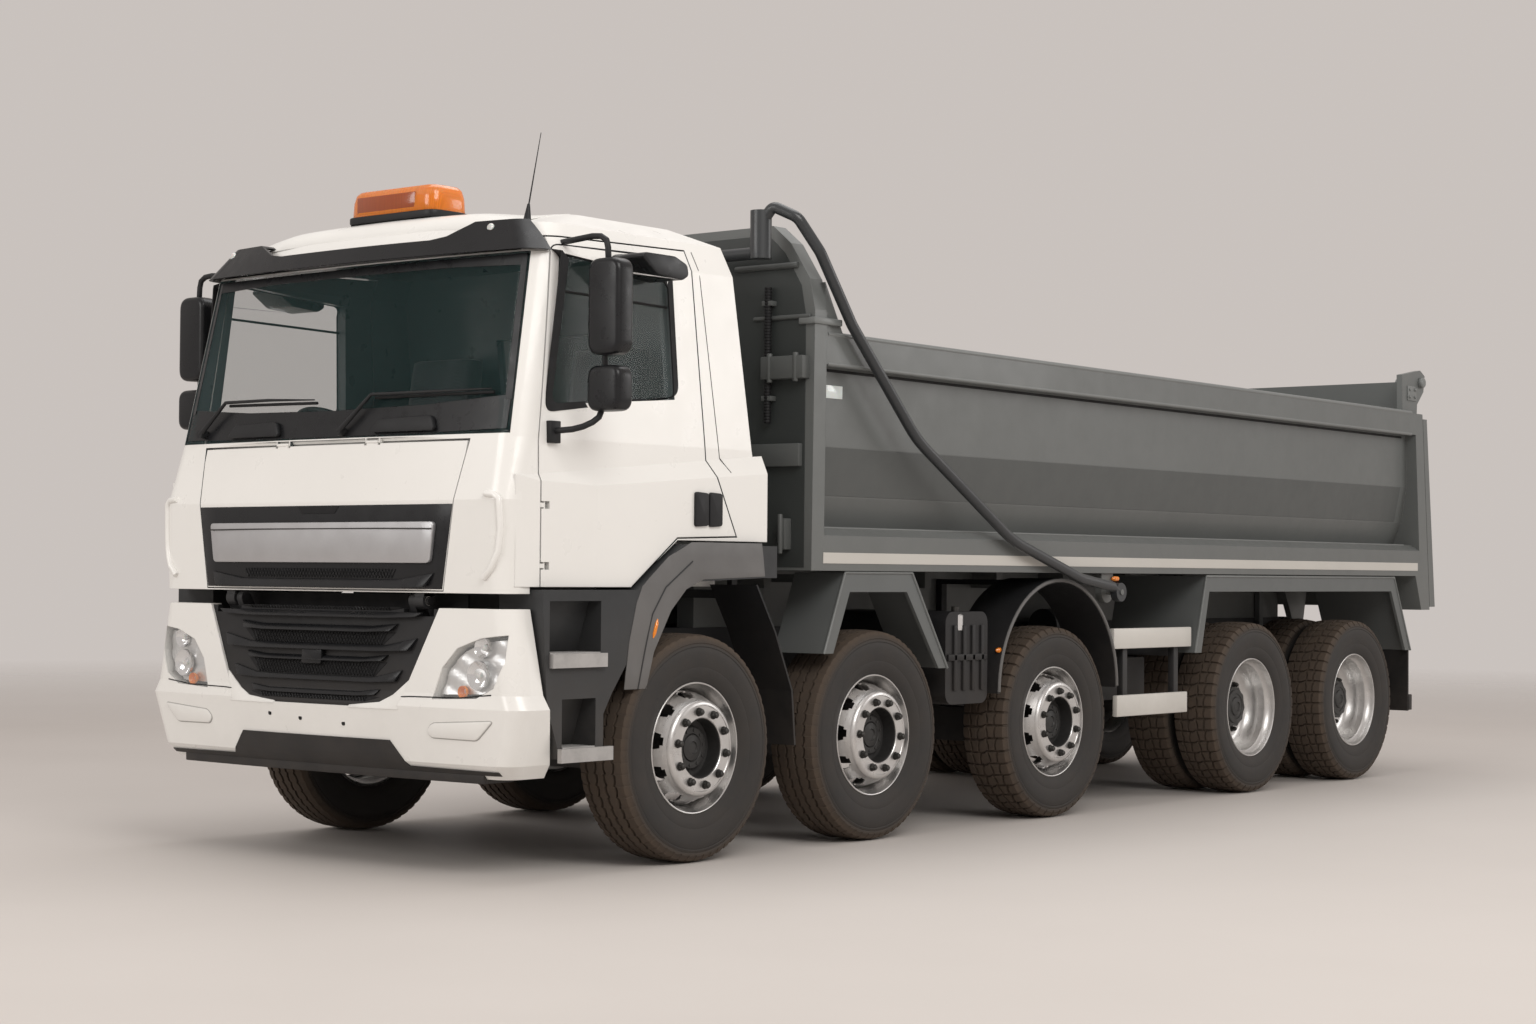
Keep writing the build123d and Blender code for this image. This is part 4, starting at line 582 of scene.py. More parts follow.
def ring_panel(name, skin, outer, inner, body, slot, material, lift, thick):
    """Flat band between two outlines with the same number of points."""
    form = Form()
    rim = [skin.lay(u, v, lift) for u, v in outer]
    low, high = min(rim, key=lambda p: p.z), max(rim, key=lambda p: p.z)
    lean = (high.y - low.y) / (high.z - low.z)
    hole = [Vector((u, edge.y + lean * (v - edge.z), v)) for (u, v), edge in zip(inner, rim)]
    upper = [[form.bm.verts.new(p) for p in loop] for loop in (rim, hole)]
    lower = [[form.bm.verts.new(v.co + skin.ray * thick) for v in loop] for loop in upper]
    form.walls([upper[0], upper[1], lower[1], lower[0], upper[0]])
    return form.piece(name, body, slot, material)


def body_of(node):
    """Name of the body that carries a CAD node."""
    for name, body in frame["bodies"].items():
        if NODES[node].parent is body:
            return name
    return "chassis"


def laid_line(name, skin, points, body, slot, material, radius=0.003, lift=0.0, step=0.04,
              mirror=False, sides=8):
    """A bead or groove line laid on a surface."""
    path = []
    for (u0, v0), (u1, v1) in zip(points, points[1:]):
        count = max(int(math.hypot(u1 - u0, v1 - v0) / step), 1)
        path += [(u0 + (u1 - u0) * k / count, v0 + (v1 - v0) * k / count) for k in range(count)]
    path.append(points[-1])
    form = Form().tube([skin.lay(u, v, lift) for u, v in path], radius, sides)
    if mirror:
        form.mirrored()
    return form.piece(name, body, slot, material)


# ------------------------------------------------------------------ finishes of the CAD nodes
CAB_MIDDLE = Vector((at(0.30), 0.0, 1.40))
# colour of a trim lining inside the cab, made this dark partly as painted shade inside the cab
LINING_AND_SHADE = (0.070, 0.088, 0.092)
LINED_AND_SHADED = ("cab_shell", "door_left", "door_right")


def lined(node, finish, inside):
    """The finish outside, and on the faces that look into the cab a dark trim lining, its darkness
    partly painted shade inside the cab.
    """
    look = Look(f"{finish}_{node}", M[finish])
    coords = look.add("TexCoord", {})
    middle = NODES[node].matrix_world.inverted() @ CAB_MIDDLE
    offset = look.add("VectorMath", {0: coords["Object"], 1: middle}, operation="SUBTRACT")
    facing = look.add("VectorMath", {0: offset["Vector"], 1: coords["Normal"]},
                      operation="DOT_PRODUCT")
    inner = look.add("Math", {0: facing["Value"], 1: 0.0}, operation="LESS_THAN")
    outside = look.shader.inputs["Base Color"].links[0].from_socket
    look.shade({"Base Color": look.blend(inner["Value"], outside, inside)})
    return look.material


NODE_FINISH = {
    "chassis_frame": "chassis_paint", "axles": "cast_parts", "leaf_springs": "chassis_paint",
    "powertrain": "cast_parts", "front_bumper": "cab_paint", "lower_grille": "black_plastic",
    "headlamps": "lamp_glass", "step_wells": "step_plastic", "step_treads": "tread_aluminium",
    "grey_mudguards": "guard_grey", "black_mudguards": "black_plastic",
    "side_guards": "rail_white", "side_tanks": "black_plastic", "rear_underrun": "chassis_paint",
    "cab_shell": "cab_paint", "cab_glass": "glazing", "dashboard": "black_plastic",
    "seats": "seat_fabric", "sun_visor": "gloss_black", "roof_fittings": "amber_lamp",
    "front_hatch": "cab_paint", "bed": "bed_grey", "tailgate": "bed_grey",
    "cover_bow": "arm_black", "hoist_barrel": "chassis_paint"}
for side, _ in SIDES:
    NODE_FINISH[f"door_{side}"] = "cab_paint"
    NODE_FINISH[f"door_glass_{side}"] = "side_glazing"
    NODE_FINISH[f"mirrors_{side}"] = "gloss_black"
    for number in "12":
        NODE_FINISH[f"knuckle_{number}_{side}"] = "cast_parts"
    for number in "12345":
        NODE_FINISH[f"tyre_{number}_{side}"] = "steer_tyre"
        NODE_FINISH[f"rim_{number}_{side}"] = "rim_silver"
for number in "1234":
    NODE_FINISH[f"hoist_stage_{number}"] = "hoist_chrome"
for node, finish in NODE_FINISH.items():
    slots = NODES[node].data.materials
    slots.clear()
    slots.append(lined(node, finish, LINING_AND_SHADE) if node in LINED_AND_SHADED else M[finish])


# ------------------------------------------------------------------ camera, floor and light
def set_stage():
    """The photo's camera as it was calibrated, a plain floor and four soft lamps."""
    yaw, pitch, roll = (math.radians(turn) for turn in (39.091, 1.3456, 0.4578))
    look = Vector((-math.cos(yaw) * math.cos(pitch), -math.sin(yaw) * math.cos(pitch),
                   math.sin(pitch)))
    right = look.cross(Vector((0, 0, 1))).normalized()
    up = right.cross(look)
    across = right * math.cos(roll) + up * math.sin(roll)
    above = -right * math.sin(roll) + up * math.cos(roll)
    camera_data = bpy.data.cameras.new("camera")
    camera_data.lens = 60.12
    camera_data.sensor_width = 36.0
    camera_data.clip_end = 200.0
    camera = bpy.data.objects.new("camera", camera_data)
    matrix = Matrix((across, above, -look)).transposed().to_4x4()
    matrix.translation = Vector((12.1027, 8.8109, 1.3205))
    camera.matrix_world = matrix
    bpy.context.scene.collection.objects.link(camera)
    bpy.context.scene.camera = camera

    look = Look("floor")
    vector = look.coords()
    look.shade({"Base Color": look.blend(look.mottle(vector, 0.35, 4), (0.60, 0.562, 0.532),
                                         (0.57, 0.533, 0.503)),
                "Roughness": 0.6, "Alpha": look.ramp(look.length(vector), 9.0, 24.0, 1.0, 0.0)})
    look.bump(look.noise(vector, 30.0, 4), 0.03, 0.002)
    bm = bmesh.new()
    bm.faces.new([bm.verts.new((x, y, 0)) for x, y in rect(-60, 60, -60, 60)])
    floor = object_from("floor", bm)
    floor.data.materials.append(look.material)

    world = bpy.data.worlds.new("world")
    world.use_nodes = True
    background = world.node_tree.nodes["Background"].inputs
    background["Color"].default_value = (0.585, 0.540, 0.512, 1.0)
    background["Strength"].default_value = 1.0
    bpy.context.scene.world = world

    # name, place, aim, width, height, watts, colour
    lamps = (("key", (7.0, 9.5, 8.5), (0.4, 0.0, 1.2), 7.0, 5.0, 620.0, (1.0, 0.985, 0.96)),
             ("front", (13.5, -2.5, 5.5), (4.0, 0.0, 1.6), 5.0, 4.0, 300.0, (1.0, 0.99, 0.97)),
             ("overhead", (0.0, 0.0, 9.5), (0.0, 0.0, 0.0), 9.0, 5.0, 360.0, (1.0, 1.0, 1.0)),
             ("rear", (-8.0, 9.0, 5.0), (-2.5, 0.0, 1.2), 5.0, 4.0, 210.0, (1.0, 0.99, 0.98)))
    for name, place, aim, width, height, power, color in lamps:
        data = bpy.data.lights.new(name, "AREA")
        data.shape = "RECTANGLE"
        data.size = width
        data.size_y = height
        data.energy = power
        data.color = color
        lamp = bpy.data.objects.new(name, data)
        lamp.location = place
        lamp.rotation_euler = (Vector(aim) - Vector(place)).to_track_quat("-Z", "Y").to_euler()
        bpy.context.scene.collection.objects.link(lamp)
    bpy.context.scene.view_settings.view_transform = "Standard"


set_stage()


# ------------------------------------------------------------------ wheels
def loose_mesh(name, bm, smooth_angle):
    """A mesh to be placed several times."""
    bmesh.ops.recalc_face_normals(bm, faces=bm.faces)
    piece = object_from(name, bm, smooth_angle)
    mesh = piece.data
    bpy.data.objects.remove(piece)
    return mesh


def tyre_mesh(name, blocks):
    """Tyre about its own centre: zigzag ribs, or blocks cut across as well."""
    inset, zigzag = 0.0005, 0.0045  # stays inside the CAD tyre; the grooves' sideways swing
    half = TYRE_W / 2 - inset
    side = [(half - 0.0015, 0.478), (half - 0.0045, 0.474), (half - 0.002, 0.469),
            (half - 0.001, 0.462), (half - 0.0035, 0.458), (half - 0.001, 0.453), (half, 0.43),
            (half, 0.41), (half - 0.004, 0.37), (half - 0.0055, 0.366), (half - 0.005, 0.362),
            (half - 0.013, 0.33), (half - 0.020, 0.312), (half - 0.026, 0.302), (0.105, 0.296)]
    grooves = [-0.078, -0.027, 0.027, 0.078]
    width, depth = 0.0055, 0.014  # of a groove: half its width, and how far it goes in

    def crown(y):
        return TYRE_R - inset - 0.010 * (abs(y) / 0.128) ** 2.6
    # place across, radius, follows the zigzag, is cut by the cross grooves
    stations = [(-y, r, 0, 0) for y, r in reversed(side)]
    stations += [(-half + 0.002, 0.488, 0, 1), (-0.131, 0.499, 0, 1), (-0.123, crown(0.123), 0, 1)]
    for number, centre in enumerate(grooves):
        sign = 1 if number % 2 else -1
        for offset, low in ((-width - 0.002, 0), (-width, 1), (width, 1), (width + 0.002, 0)):
            stations.append((centre + offset, crown(centre) - (depth if low else 0), sign,
                             0 if low else 1))
        if centre < 0.07:
            stations.append((centre + 0.026, crown(centre + 0.026), 0, 1))
    stations += [(0.123, crown(0.123), 0, 1), (0.131, 0.499, 0, 1), (half - 0.002, 0.488, 0, 1)]
    stations += [(y, r, 0, 0) for y, r in side]
    pitches = 46 if blocks else 60
    shape = ((0.0, 1), (0.05, 0), (0.17, 0), (0.22, 1), (0.60, 1)) if blocks \
        else ((0.0, 1), (0.5, 1), (0.56, 1))
    bm = bmesh.new()
    rings = []
    for pitch in range(pitches):
        for index, (share, high) in enumerate(shape):
            ring = []
            for y, r, zig, cuts in stations:
                shift = 0.16 if blocks and y > 0 else 0.0
                turn = 2 * math.pi * (pitch + share + shift) / pitches
                wave = zigzag * zig * (1 if index < 2 else -1)
                radius = r
                if blocks and cuts and not high:
                    radius -= 0.012 if abs(y) < 0.125 else 0.009
                if not blocks and cuts and index == 2 and abs(y) > 0.115:
                    radius -= 0.005
                ring.append(bm.verts.new((radius * math.cos(turn), y + wave,
                                          radius * math.sin(turn))))
            rings.append(ring)
    for first, second in zip(rings, rings[1:] + rings[:1]):
        for k in range(len(stations) - 1):
            bm.faces.new((first[k], first[k + 1], second[k + 1], second[k]))
    return loose_mesh(name, bm, 26)


def lip_profile():
    """Outer flange and bead seat: (radius, place out from the tyre's middle)."""
    return [(0.292, 0.084), (0.2955, 0.098), (0.2985, 0.106), (0.3, 0.112), (0.2995, 0.1165),
            (0.2965, 0.1185), (0.2925, 0.1175), (0.2905, 0.112), (0.2885, 0.100), (0.284, 0.088)]


NUTS, NUT_CIRCLE_R = 10, 0.1675


def nuts_on(form, face, size, reach):
    """Domed hexagonal nuts on flat washers round the wheel."""
    for k in range(NUTS):
        turn = 2 * math.pi * (k + 0.5) / NUTS
        x, z = NUT_CIRCLE_R * math.cos(turn), NUT_CIRCLE_R * math.sin(turn)
        form.revolve([(0, face), (size * 0.78, face), (size * 0.78, face + 0.004),
                      (0, face + 0.004)], (x, 0, z), steps=14)
        form.prism([(x + size * 0.66 * math.cos(math.pi * m / 3 + turn),
                     z + size * 0.66 * math.sin(math.pi * m / 3 + turn)) for m in range(6)],
                   "y", face + 0.003, face + reach * 0.62)
        form.revolve([(size * 0.50, face + reach * 0.6), (size * 0.46, face + reach * 0.82),
                      (size * 0.3, face + reach * 0.96), (0, face + reach)], (x, 0, z), steps=14,
                     close=False)


def pierced_cone(form, count, low, high):
    """Conical wall with oval windows between two rows, each (radius, place)."""
    per, bulge, wall = 8, 0.006, 0.007  # columns for each window, and two depths
    steps = count * per
    rows = [0.0, 0.14, 0.26, 0.5, 0.74, 0.86, 1.0]
    grid = []
    for t in rows:
        row = []
        for k in range(steps):
            turn = 2 * math.pi * k / steps
            radius = low[0] + (high[0] - low[0]) * t + bulge * math.sin(math.pi * t)
            row.append(Vector((radius * math.cos(turn), low[1] + (high[1] - low[1]) * t,
                               radius * math.sin(turn))))
        grid.append(row)
    for i in range(1, len(rows) - 1):
        for k in range(steps):
            phase = (k % per) - per / 2
            if abs(phase) == 2 and rows[i] != 0.5:
                inward = (k - int(math.copysign(1, phase))) % steps
                grid[i][k] = grid[i][k].lerp(grid[i][inward], 0.3)
    made = [[form.bm.verts.new(p) for p in row] for row in grid]
    back = [[form.bm.verts.new(p - Vector((p.x, 0, p.z)).normalized() * wall) for p in row]
            for row in grid]
    solid = {}
    for i in range(len(rows) - 1):
        for k in range(steps):
            inside = 1 <= i <= len(rows) - 3 and 2 <= (k % per) <= 5
            corner = i in (1, len(rows) - 3) and (k % per) in (2, 5)
            solid[i, k] = not inside or corner
    for (i, k), keep in solid.items():
        n = (k + 1) % steps
        quad = [(i, k), (i, n), (i + 1, n), (i + 1, k)]
        if keep:
            form.face([made[a][b] for a, b in quad])
            form.face([back[a][b] for a, b in quad][::-1])
            continue
        for (da, db), (a, b) in (((-1, 0), (quad[0], quad[1])), ((0, 1), (quad[1], quad[2])),
                                 ((1, 0), (quad[2], quad[3])), ((0, -1), (quad[3], quad[0]))):
            near = (i + da, (k + db) % steps)
            if solid.get(near, True):
                form.face((made[a[0]][a[1]], made[b[0]][b[1]], back[b[0]][b[1]],
                           back[a[0]][a[1]]))
    loose = [v for row in made + back for v in row if not v.link_faces]
    bmesh.ops.delete(form.bm, geom=loose, context="VERTS")


def single_rim_mesh(name):
    """Bulging rim with oval windows, ten nuts and a recessed hub."""
    form = Form()
    form.revolve(lip_profile() + [(0.281, 0.082), (0.271, 0.066), (0.266, 0.03), (0.264, -0.06),
                                  (0.280, -0.085), (0.287, -0.112), (0.296, -0.1185),
                                  (0.3, -0.112), (0.292, -0.084), (0.272, -0.06), (0.272, 0.04),
                                  (0.279, 0.064)], steps=72)
    pierced_cone(form, 10, (0.262, 0.028), (0.222, 0.138))
    form.revolve([(0.266, 0.020), (0.262, 0.028), (0.255, 0.028), (0.258, 0.018)], steps=72)
    form.revolve([(0.222, 0.138), (0.2185, 0.148), (0.212, 0.155), (0.203, 0.1585),
                  (0.196, 0.159), (0.194, 0.1565), (0.140, 0.1565), (0.1365, 0.153),
                  (0.1365, 0.143), (0.143, 0.141), (0.200, 0.146), (0.211, 0.141),
                  (0.215, 0.137)], steps=72)
    form.index = 1
    nuts_on(form, 0.156, 0.026, 0.031)
    form.index = 2
    form.revolve([(0.1365, 0.150), (0.1345, 0.1515), (0.1325, 0.149), (0.131, 0.080),
                  (0.104, 0.074), (0.100, 0.092), (0.092, 0.098), (0.066, 0.098), (0.062, 0.093),
                  (0.058, 0.100), (0.030, 0.106), (0.026, 0.100), (0, 0.101)], close=False)
    form.revolve([(0.1365, 0.150), (0.140, 0.07), (0.150, -0.06), (0.0, -0.06)], close=False)
    for x, z in circle(10, 0.080):
        form.revolve([(0.0075, 0.096), (0.0075, 0.1015), (0, 0.1025)], (x, 0, z), steps=8,
                     close=False)
    return loose_mesh(name, form.bm, 32)


def twin_rim_mesh(name):
    """Deep dished outer rim, disc and lobed hub; the inner rim is a plain ring behind."""
    form = Form()
    form.revolve(lip_profile() + [(0.2815, 0.083), (0.2735, 0.072), (0.266, 0.066),
                                  (0.2635, 0.058), (0.2615, 0.030), (0.2575, 0.022),
                                  (0.2535, 0.000), (0.2435, -0.034), (0.226, -0.055),
                                  (0.206, -0.064), (0.150, -0.066), (0.128, -0.062),
                                  (0.128, -0.070), (0.210, -0.074), (0.236, -0.062),
                                  (0.262, -0.02), (0.270, 0.05), (0.279, 0.070)], steps=72)
    inner = -TWIN_PITCH
    form.revolve([(0.3, inner - 0.112), (0.296, inner - 0.118), (0.288, inner - 0.110),
                  (0.262, inner - 0.06), (0.262, inner + 0.06), (0.288, inner + 0.110),
                  (0.296, inner + 0.118), (0.3, inner + 0.112), (0.270, inner + 0.05),
                  (0.270, inner - 0.05)])
    form.revolve([(0.262, inner + 0.03), (0.205, inner + 0.150), (0.205, inner + 0.240),
                  (0.198, inner + 0.240), (0.198, inner + 0.150), (0.255, inner + 0.02)])
    form.index = 1
    nuts_on(form, -0.064, 0.024, 0.034)
    form.index = 2
    lobes = []
    for k in range(60):
        turn = 2 * math.pi * k / 60
        radius = 0.118 + 0.006 * max(math.cos(turn * 10), -0.4)
        lobes.append((radius * math.cos(turn), radius * math.sin(turn)))
    form.prism(lobes, "y", -0.16, 0.004)
    form.revolve([(0.104, 0.003), (0.100, 0.012), (0.080, 0.0135), (0.077, 0.009), (0.060, 0.011),
                  (0.056, 0.019), (0.030, 0.024), (0.027, 0.019), (0.015, 0.019), (0.0, 0.018)],
                 steps=40, close=False)
    for x, z in circle(10, 0.091):
        form.revolve([(0.008, 0.003), (0.008, 0.011), (0, 0.0125)], (x, 0, z), steps=8,
                     close=False)
    return loose_mesh(name, form.bm, 32)


def place_mesh(name, mesh, centre, sign, turn, body, materials, replaces=()):
    """A wheel mesh set at its centre, facing outwards."""
    data = mesh.copy()
    flip = Matrix.Rotation(turn, 4, "Y") if sign > 0 else \
        Matrix.Rotation(math.pi, 4, "Z") @ Matrix.Rotation(turn, 4, "Y")
    data.transform(flip)
    piece = bpy.data.objects.new(name, data)
    bpy.context.scene.collection.objects.link(piece)
    piece.location = centre
    return finish_piece(piece, body, materials, replaces)


def make_wheels():
    ribbed = tyre_mesh("ribbed_tyre", False)
    blocked = tyre_mesh("blocked_tyre", True)
    single = single_rim_mesh("single_rim")
    twin = twin_rim_mesh("twin_rim")
    rng = random.Random(4)
    for number in "12345":
        for side, sign in SIDES:
            low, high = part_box(f"tyre_{number}_{side}")
            face = high.y if sign > 0 else low.y
            centre = Vector((AXLES[number], face - sign * TYRE_W / 2, TYRE_R))
            turn = rng.uniform(0, 0.6)
            body = f"wheel_{number}_{side}"
            mesh = ribbed if number in "12" else blocked
            place_mesh(f"tread_{number}_{side}", mesh, centre, sign, turn, body,
                       "steer_tyre", [f"tyre_{number}_{side}"])
            if number in "45":
                inner = centre - Vector((0, sign * TWIN_PITCH, 0))
                place_mesh(f"inner_tread_{number}_{side}", mesh, inner, sign, turn, body,
                           "steer_tyre")
            place_mesh(f"disc_{number}_{side}", twin if number in "45" else single, centre, sign,
                       turn, body, ["rim_silver", "nut_dark", "hub_dark"],
                       [f"rim_{number}_{side}"])


make_wheels()


# ------------------------------------------------------------------ cab front
CAB_FRONT = Skin("+x", ["cab_shell", "front_hatch"], at(1.12))
HATCH_FACE = Skin("+x", ["front_hatch"], at(1.16))
LOW_FRONT = Skin("+x", ["front_bumper", "lower_grille", "headlamps"], at(1.20))
SCREEN = Skin("+x", ["cab_glass"], at(1.06))
DOOR_FACE = side_skins(1.17, "door_{}", "door_glass_{}")
CAB_SIDE = side_skins(1.17, "cab_shell")
WELL_SIDE = side_skins(1.22, "step_wells")
LOW_BODY = body_of("lower_grille")
BUMPER_BODY = body_of("front_bumper")


def both(points):
    """Outline whose left half is given from top to bottom, closed with its right half."""
    return points + [(-y, z) for y, z in reversed(points)]


def grille_bar(name, skin, half, top, low, body, rise=0.034):
    """Wing-shaped bar, deepest at its lower edge and within the CAD box; rise lifts its ends."""
    outline = both([(half * 0.70, top), (half, top + rise), (half * 0.94, low + 0.006),
                    (half * 0.66, low)])
    drop = top - low
    foremost = max(skin.lay(y, z).x for y, z in outline + [(0.0, low), (0.0, top)])
    spare, most_lift, most_depth = 0.002, 0.010, 0.026
    room = CAD_BOX[1].x - spare - foremost
    lift = min(most_lift, room * 0.4)
    depth = min(most_depth, room - lift)

    def height(u, v):
        return depth * min(max((top - v) / drop, 0.0), 1.0)
    return panel(name, skin, outline, body, "gloss_black", lift=lift, thick=0.022,
                 step=0.09, bevel=0.003, shape=height)


def grille_mesh(name, skin, half_top, half_low, top, low, body):
    """Back plate in near-black painted shade, for the dark seen through the grille, with crossed
    wires in front of it.
    """
    panel(name, skin, both([(half_top, top), (half_low, low)]), body, "mesh_black",
          lift=0.0015, thick=0.002, step=0.2, bevel=0)
    form = Form()
    pitch = 0.020
    steps = int(half_top / pitch)
    for k in range(-steps, steps + 1):
        for lean in (-1, 1):
            start, end = (k * pitch, low), (k * pitch + lean * (top - low) * 0.6, top)
            if max(abs(start[0]) - half_low, abs(end[0]) - half_top) < 0:
                form.tube([skin.lay(*start, 0.005), skin.lay(*end, 0.005)], 0.0018, 4)
    form.piece(f"{name}_wires", body, "black_plastic", "gloss_black")


def make_hatch():
    """Dark field of the front hatch with its blank badge plate and uppermost grille."""
    dark = both([(0.14, 1.603), (0.845, 1.603), (0.785, 1.236)])
    panel("hatch_dark", HATCH_FACE, dark, "front_hatch", "gloss_black",
          lift=0.0025, thick=0.004, step=0.12)
    # the recess is painted near-black as the shade in it
    panel("hatch_recess", HATCH_FACE, both([(0.14, 1.600), (0.11, 1.567)]), "front_hatch",
          "mesh_black", lift=0.004, thick=0.002, step=0.2, bevel=0)
    plate = rounded(both([(0.750, 1.528), (0.724, 1.348)]), 0.022)

    def crown(u, v):
        return 0.006 * (1 - (abs(u) / 0.76) ** 2)
    panel("badge_plate", HATCH_FACE, plate, "front_hatch", "badge", lift=0.020,
          thick=0.022, step=0.07, bevel=0.005, shape=crown)
    laid_line("badge_crease", HATCH_FACE, [(-0.742, 1.497), (-0.4, 1.499), (0.4, 1.499),
                                           (0.742, 1.497)], "front_hatch", "rim_silver", "nut_dark",
              radius=0.003, lift=0.0255)
    grille_mesh("grille_mesh_1", HATCH_FACE, 0.557, 0.50, 1.322, 1.282, "front_hatch")
    grille_bar("grille_bar_1", HATCH_FACE, 0.740, 1.276, 1.238, "front_hatch", 0.030)


def make_lower_grille():
    """Rows of mesh under bars and thinner slats."""
    rows = ((1.203, 1.141, 0.550, 0.463), (1.045, 0.990, 0.505, 0.430),
            (0.914, 0.852, 0.463, 0.390), (0.762, 0.742, 0.430, 0.347))
    for index, (top, low, half_top, half_low) in enumerate(rows, start=2):
        grille_mesh(f"grille_mesh_{index}", LOW_FRONT, half_top, half_low, min(top, 1.155), low,
                    LOW_BODY)
    # the top bar's ends stay flat, clear of the cab's nose as it tilts
    bars = ((1.134, 1.108, 0.680, 0.0), (0.989, 0.962, 0.640, 0.034), (0.849, 0.826, 0.560, 0.034))
    for index, (top, low, half, rise) in enumerate(bars, start=2):
        grille_bar(f"grille_bar_{index}", LOW_FRONT, half, top, low, LOW_BODY, rise)
    slats = ((1.072, 1.045, 0.52), (0.935, 0.914, 0.47), (0.784, 0.764, 0.43))
    for index, (top, low, half) in enumerate(slats, start=1):
        grille_bar(f"grille_slat_{index}", LOW_FRONT, half, top, low, LOW_BODY, 0.012)
    panel("grille_block", LOW_FRONT, rounded([(-0.065, 0.898), (0.065, 0.898), (0.065, 0.963),
                                              (-0.065, 0.963)], 0.010),
          LOW_BODY, "gloss_black", lift=0.026, thick=0.03, step=0.2, bevel=0.003)


def make_bumper():
    """Raised corners, seam, lamp pockets, bolt holes, dark recess and lower lip."""
    corner = [(0.612, 0.850), (0.510, 0.775), (0.437, 0.742), (0.250, 0.724), (0.250, 0.712),
              (0.560, 0.712)]
    panel("bumper_corner", LOW_FRONT, corner, BUMPER_BODY, "cab_paint", lift=0.004,
          thick=0.01, step=0.08, bevel=0.002, mirror=True)
    laid_line("bumper_seam", LOW_FRONT, [(0.50, 0.765), (0.62, 0.772), (0.90, 0.775),
                                         (1.08, 0.792)],
              BUMPER_BODY, "cab_paint", "rubber_seal", radius=0.0028, mirror=True)
    pocket = rounded([(0.72, 0.628), (0.752, 0.662), (1.095, 0.682), (1.0, 0.597), (0.742, 0.600)],
                     0.02)
    # the pocket's outline is a line of darker paint, painted shade in its groove
    laid_line("bumper_pocket", LOW_FRONT, pocket + pocket[:1], BUMPER_BODY, "cab_paint",
              "groove", radius=0.0042, lift=-0.001, mirror=True)
    panel("bumper_pad", LOW_FRONT, pocket, BUMPER_BODY, "cab_paint", lift=0.007,
          thick=0.008, step=0.05, bevel=0.005, mirror=True)
    form = Form()
    # the bolt holes are near-black discs, painted shade in the holes
    for y, z in ((-0.283, 0.667), (-0.074, 0.653), (0.209, 0.640)):
        spot = LOW_FRONT.lay(y, z, 0.0)
        form.revolve([(0.0, 0.001), (0.011, 0.001), (0.011, -0.004), (0.0, -0.004)], spot, "x", 20)
    form.piece("bumper_holes", BUMPER_BODY, "black_plastic", "mesh_black")
    recess = both([(0.490, 0.578), (0.585, 0.470), (1.090, 0.464), (1.090, 0.447)])
    panel("bumper_recess", LOW_FRONT, recess, BUMPER_BODY, "black_plastic",
          lift=0.007, thick=0.009, step=0.022, bevel=0)
    lip = Form()
    front = [(LOW_FRONT.lay(0.1 * k, 0.450).x + 0.004, 0.1 * k) for k in range(-10, 11)]
    lip.prism(along([(0.96, -1.00)]) + front + along([(0.96, 1.00)]), "z", 0.410, 0.452)
    lip.piece("bumper_under_lip", BUMPER_BODY, "black_plastic", "black_plastic", bevel=0.006)


def make_front_gap():
    """Painted shade in the gap between cab and grille: a dark plate behind it, and dark sleeves on
    the cab's tilt lugs.
    """
    # painted shade: a near-black plate for the shade in the gap
    form = Form()
    form.block(at(1.040), at(1.050), -0.80, 0.80, 1.07, 1.212)
    form.piece("front_gap_shade", LOW_BODY, "black_plastic", "mesh_black")
    # painted shade: dark sleeves over the white tilt lugs that sit in the gap
    form = Form()
    for sign in (1, -1):
        form.revolve([(0.0375, -0.029), (0.0375, 0.029), (0.0205, 0.029), (0.0205, -0.029)],
                     (at(1.150), sign * 0.632, 1.185), "y", 32)
        form.side_block(sign, 1.1145, 1.1815, 0.603, 0.661, 1.205, 1.222)
    form.piece("tilt_lug_shade", "cab", "black_plastic", "chassis_paint")


def make_headlamps():
    """Reflector bowls and a bright fluted housing seen through the clear lamp."""
    lamp = [(0.772, 0.785), (0.815, 0.898), (0.890, 0.970), (1.010, 1.012), (1.128, 1.025),
            (1.122, 0.925), (1.078, 0.832), (0.998, 0.792)]

    def flutes(u, v):
        depth, turns = 0.004, 70.0
        return depth * math.sin((abs(u) * 0.5 + v) * turns)
    body = body_of("headlamps")
    for side, sign in SIDES:
        outline = [(sign * y, z) for y, z in lamp]
        if sign < 0:
            outline.reverse()
        panel(f"headlamp_housing_{side}", LOW_FRONT, outline, body,
              "reflector", lift=-0.034, thick=0.004, step=0.016, bevel=0, shape=flutes)
        form = Form()
        for index, (y, z, r) in enumerate(((1.006, 0.990, 0.046), (0.985, 0.872, 0.062),
                                           (0.905, 0.800, 0.026))):
            spot = LOW_FRONT.lay(sign * y, z, -0.010)
            form.index = 0 if index < 2 else 1
            form.revolve([(r, 0.0), (r * 0.80, -0.012), (r * 0.42, -0.026), (0.0, -0.030),
                          (0.0, -0.036), (r * 0.5, -0.034), (r * 1.05, -0.010)], spot, "x", 32)
        for y, z in ((1.006, 0.990), (0.985, 0.872)):
            spot = LOW_FRONT.lay(sign * y, z, -0.028)
            form.index = 2
            form.revolve([(0.0, 0.014), (0.012, 0.010), (0.014, -0.004), (0.0, -0.006)], spot, "x",
                         20)
        form.piece(f"headlamp_bowls_{side}", body, "lamp_glass",
                   ["chrome", "amber_lamp", "white_lamp"])


def make_deflectors():
    """Ridge of the air deflector at each front corner of the cab."""
    path = [(1.035, 1.645), (1.085, 1.640), (1.108, 1.622), (1.114, 1.50), (1.105, 1.40),
            (1.075, 1.33), (1.03, 1.285)]
    laid_line("deflector_ridge", CAB_FRONT, path, "cab", "cab_paint", "cab_paint", radius=0.015,
              lift=0.004, step=0.03, mirror=True, sides=14)


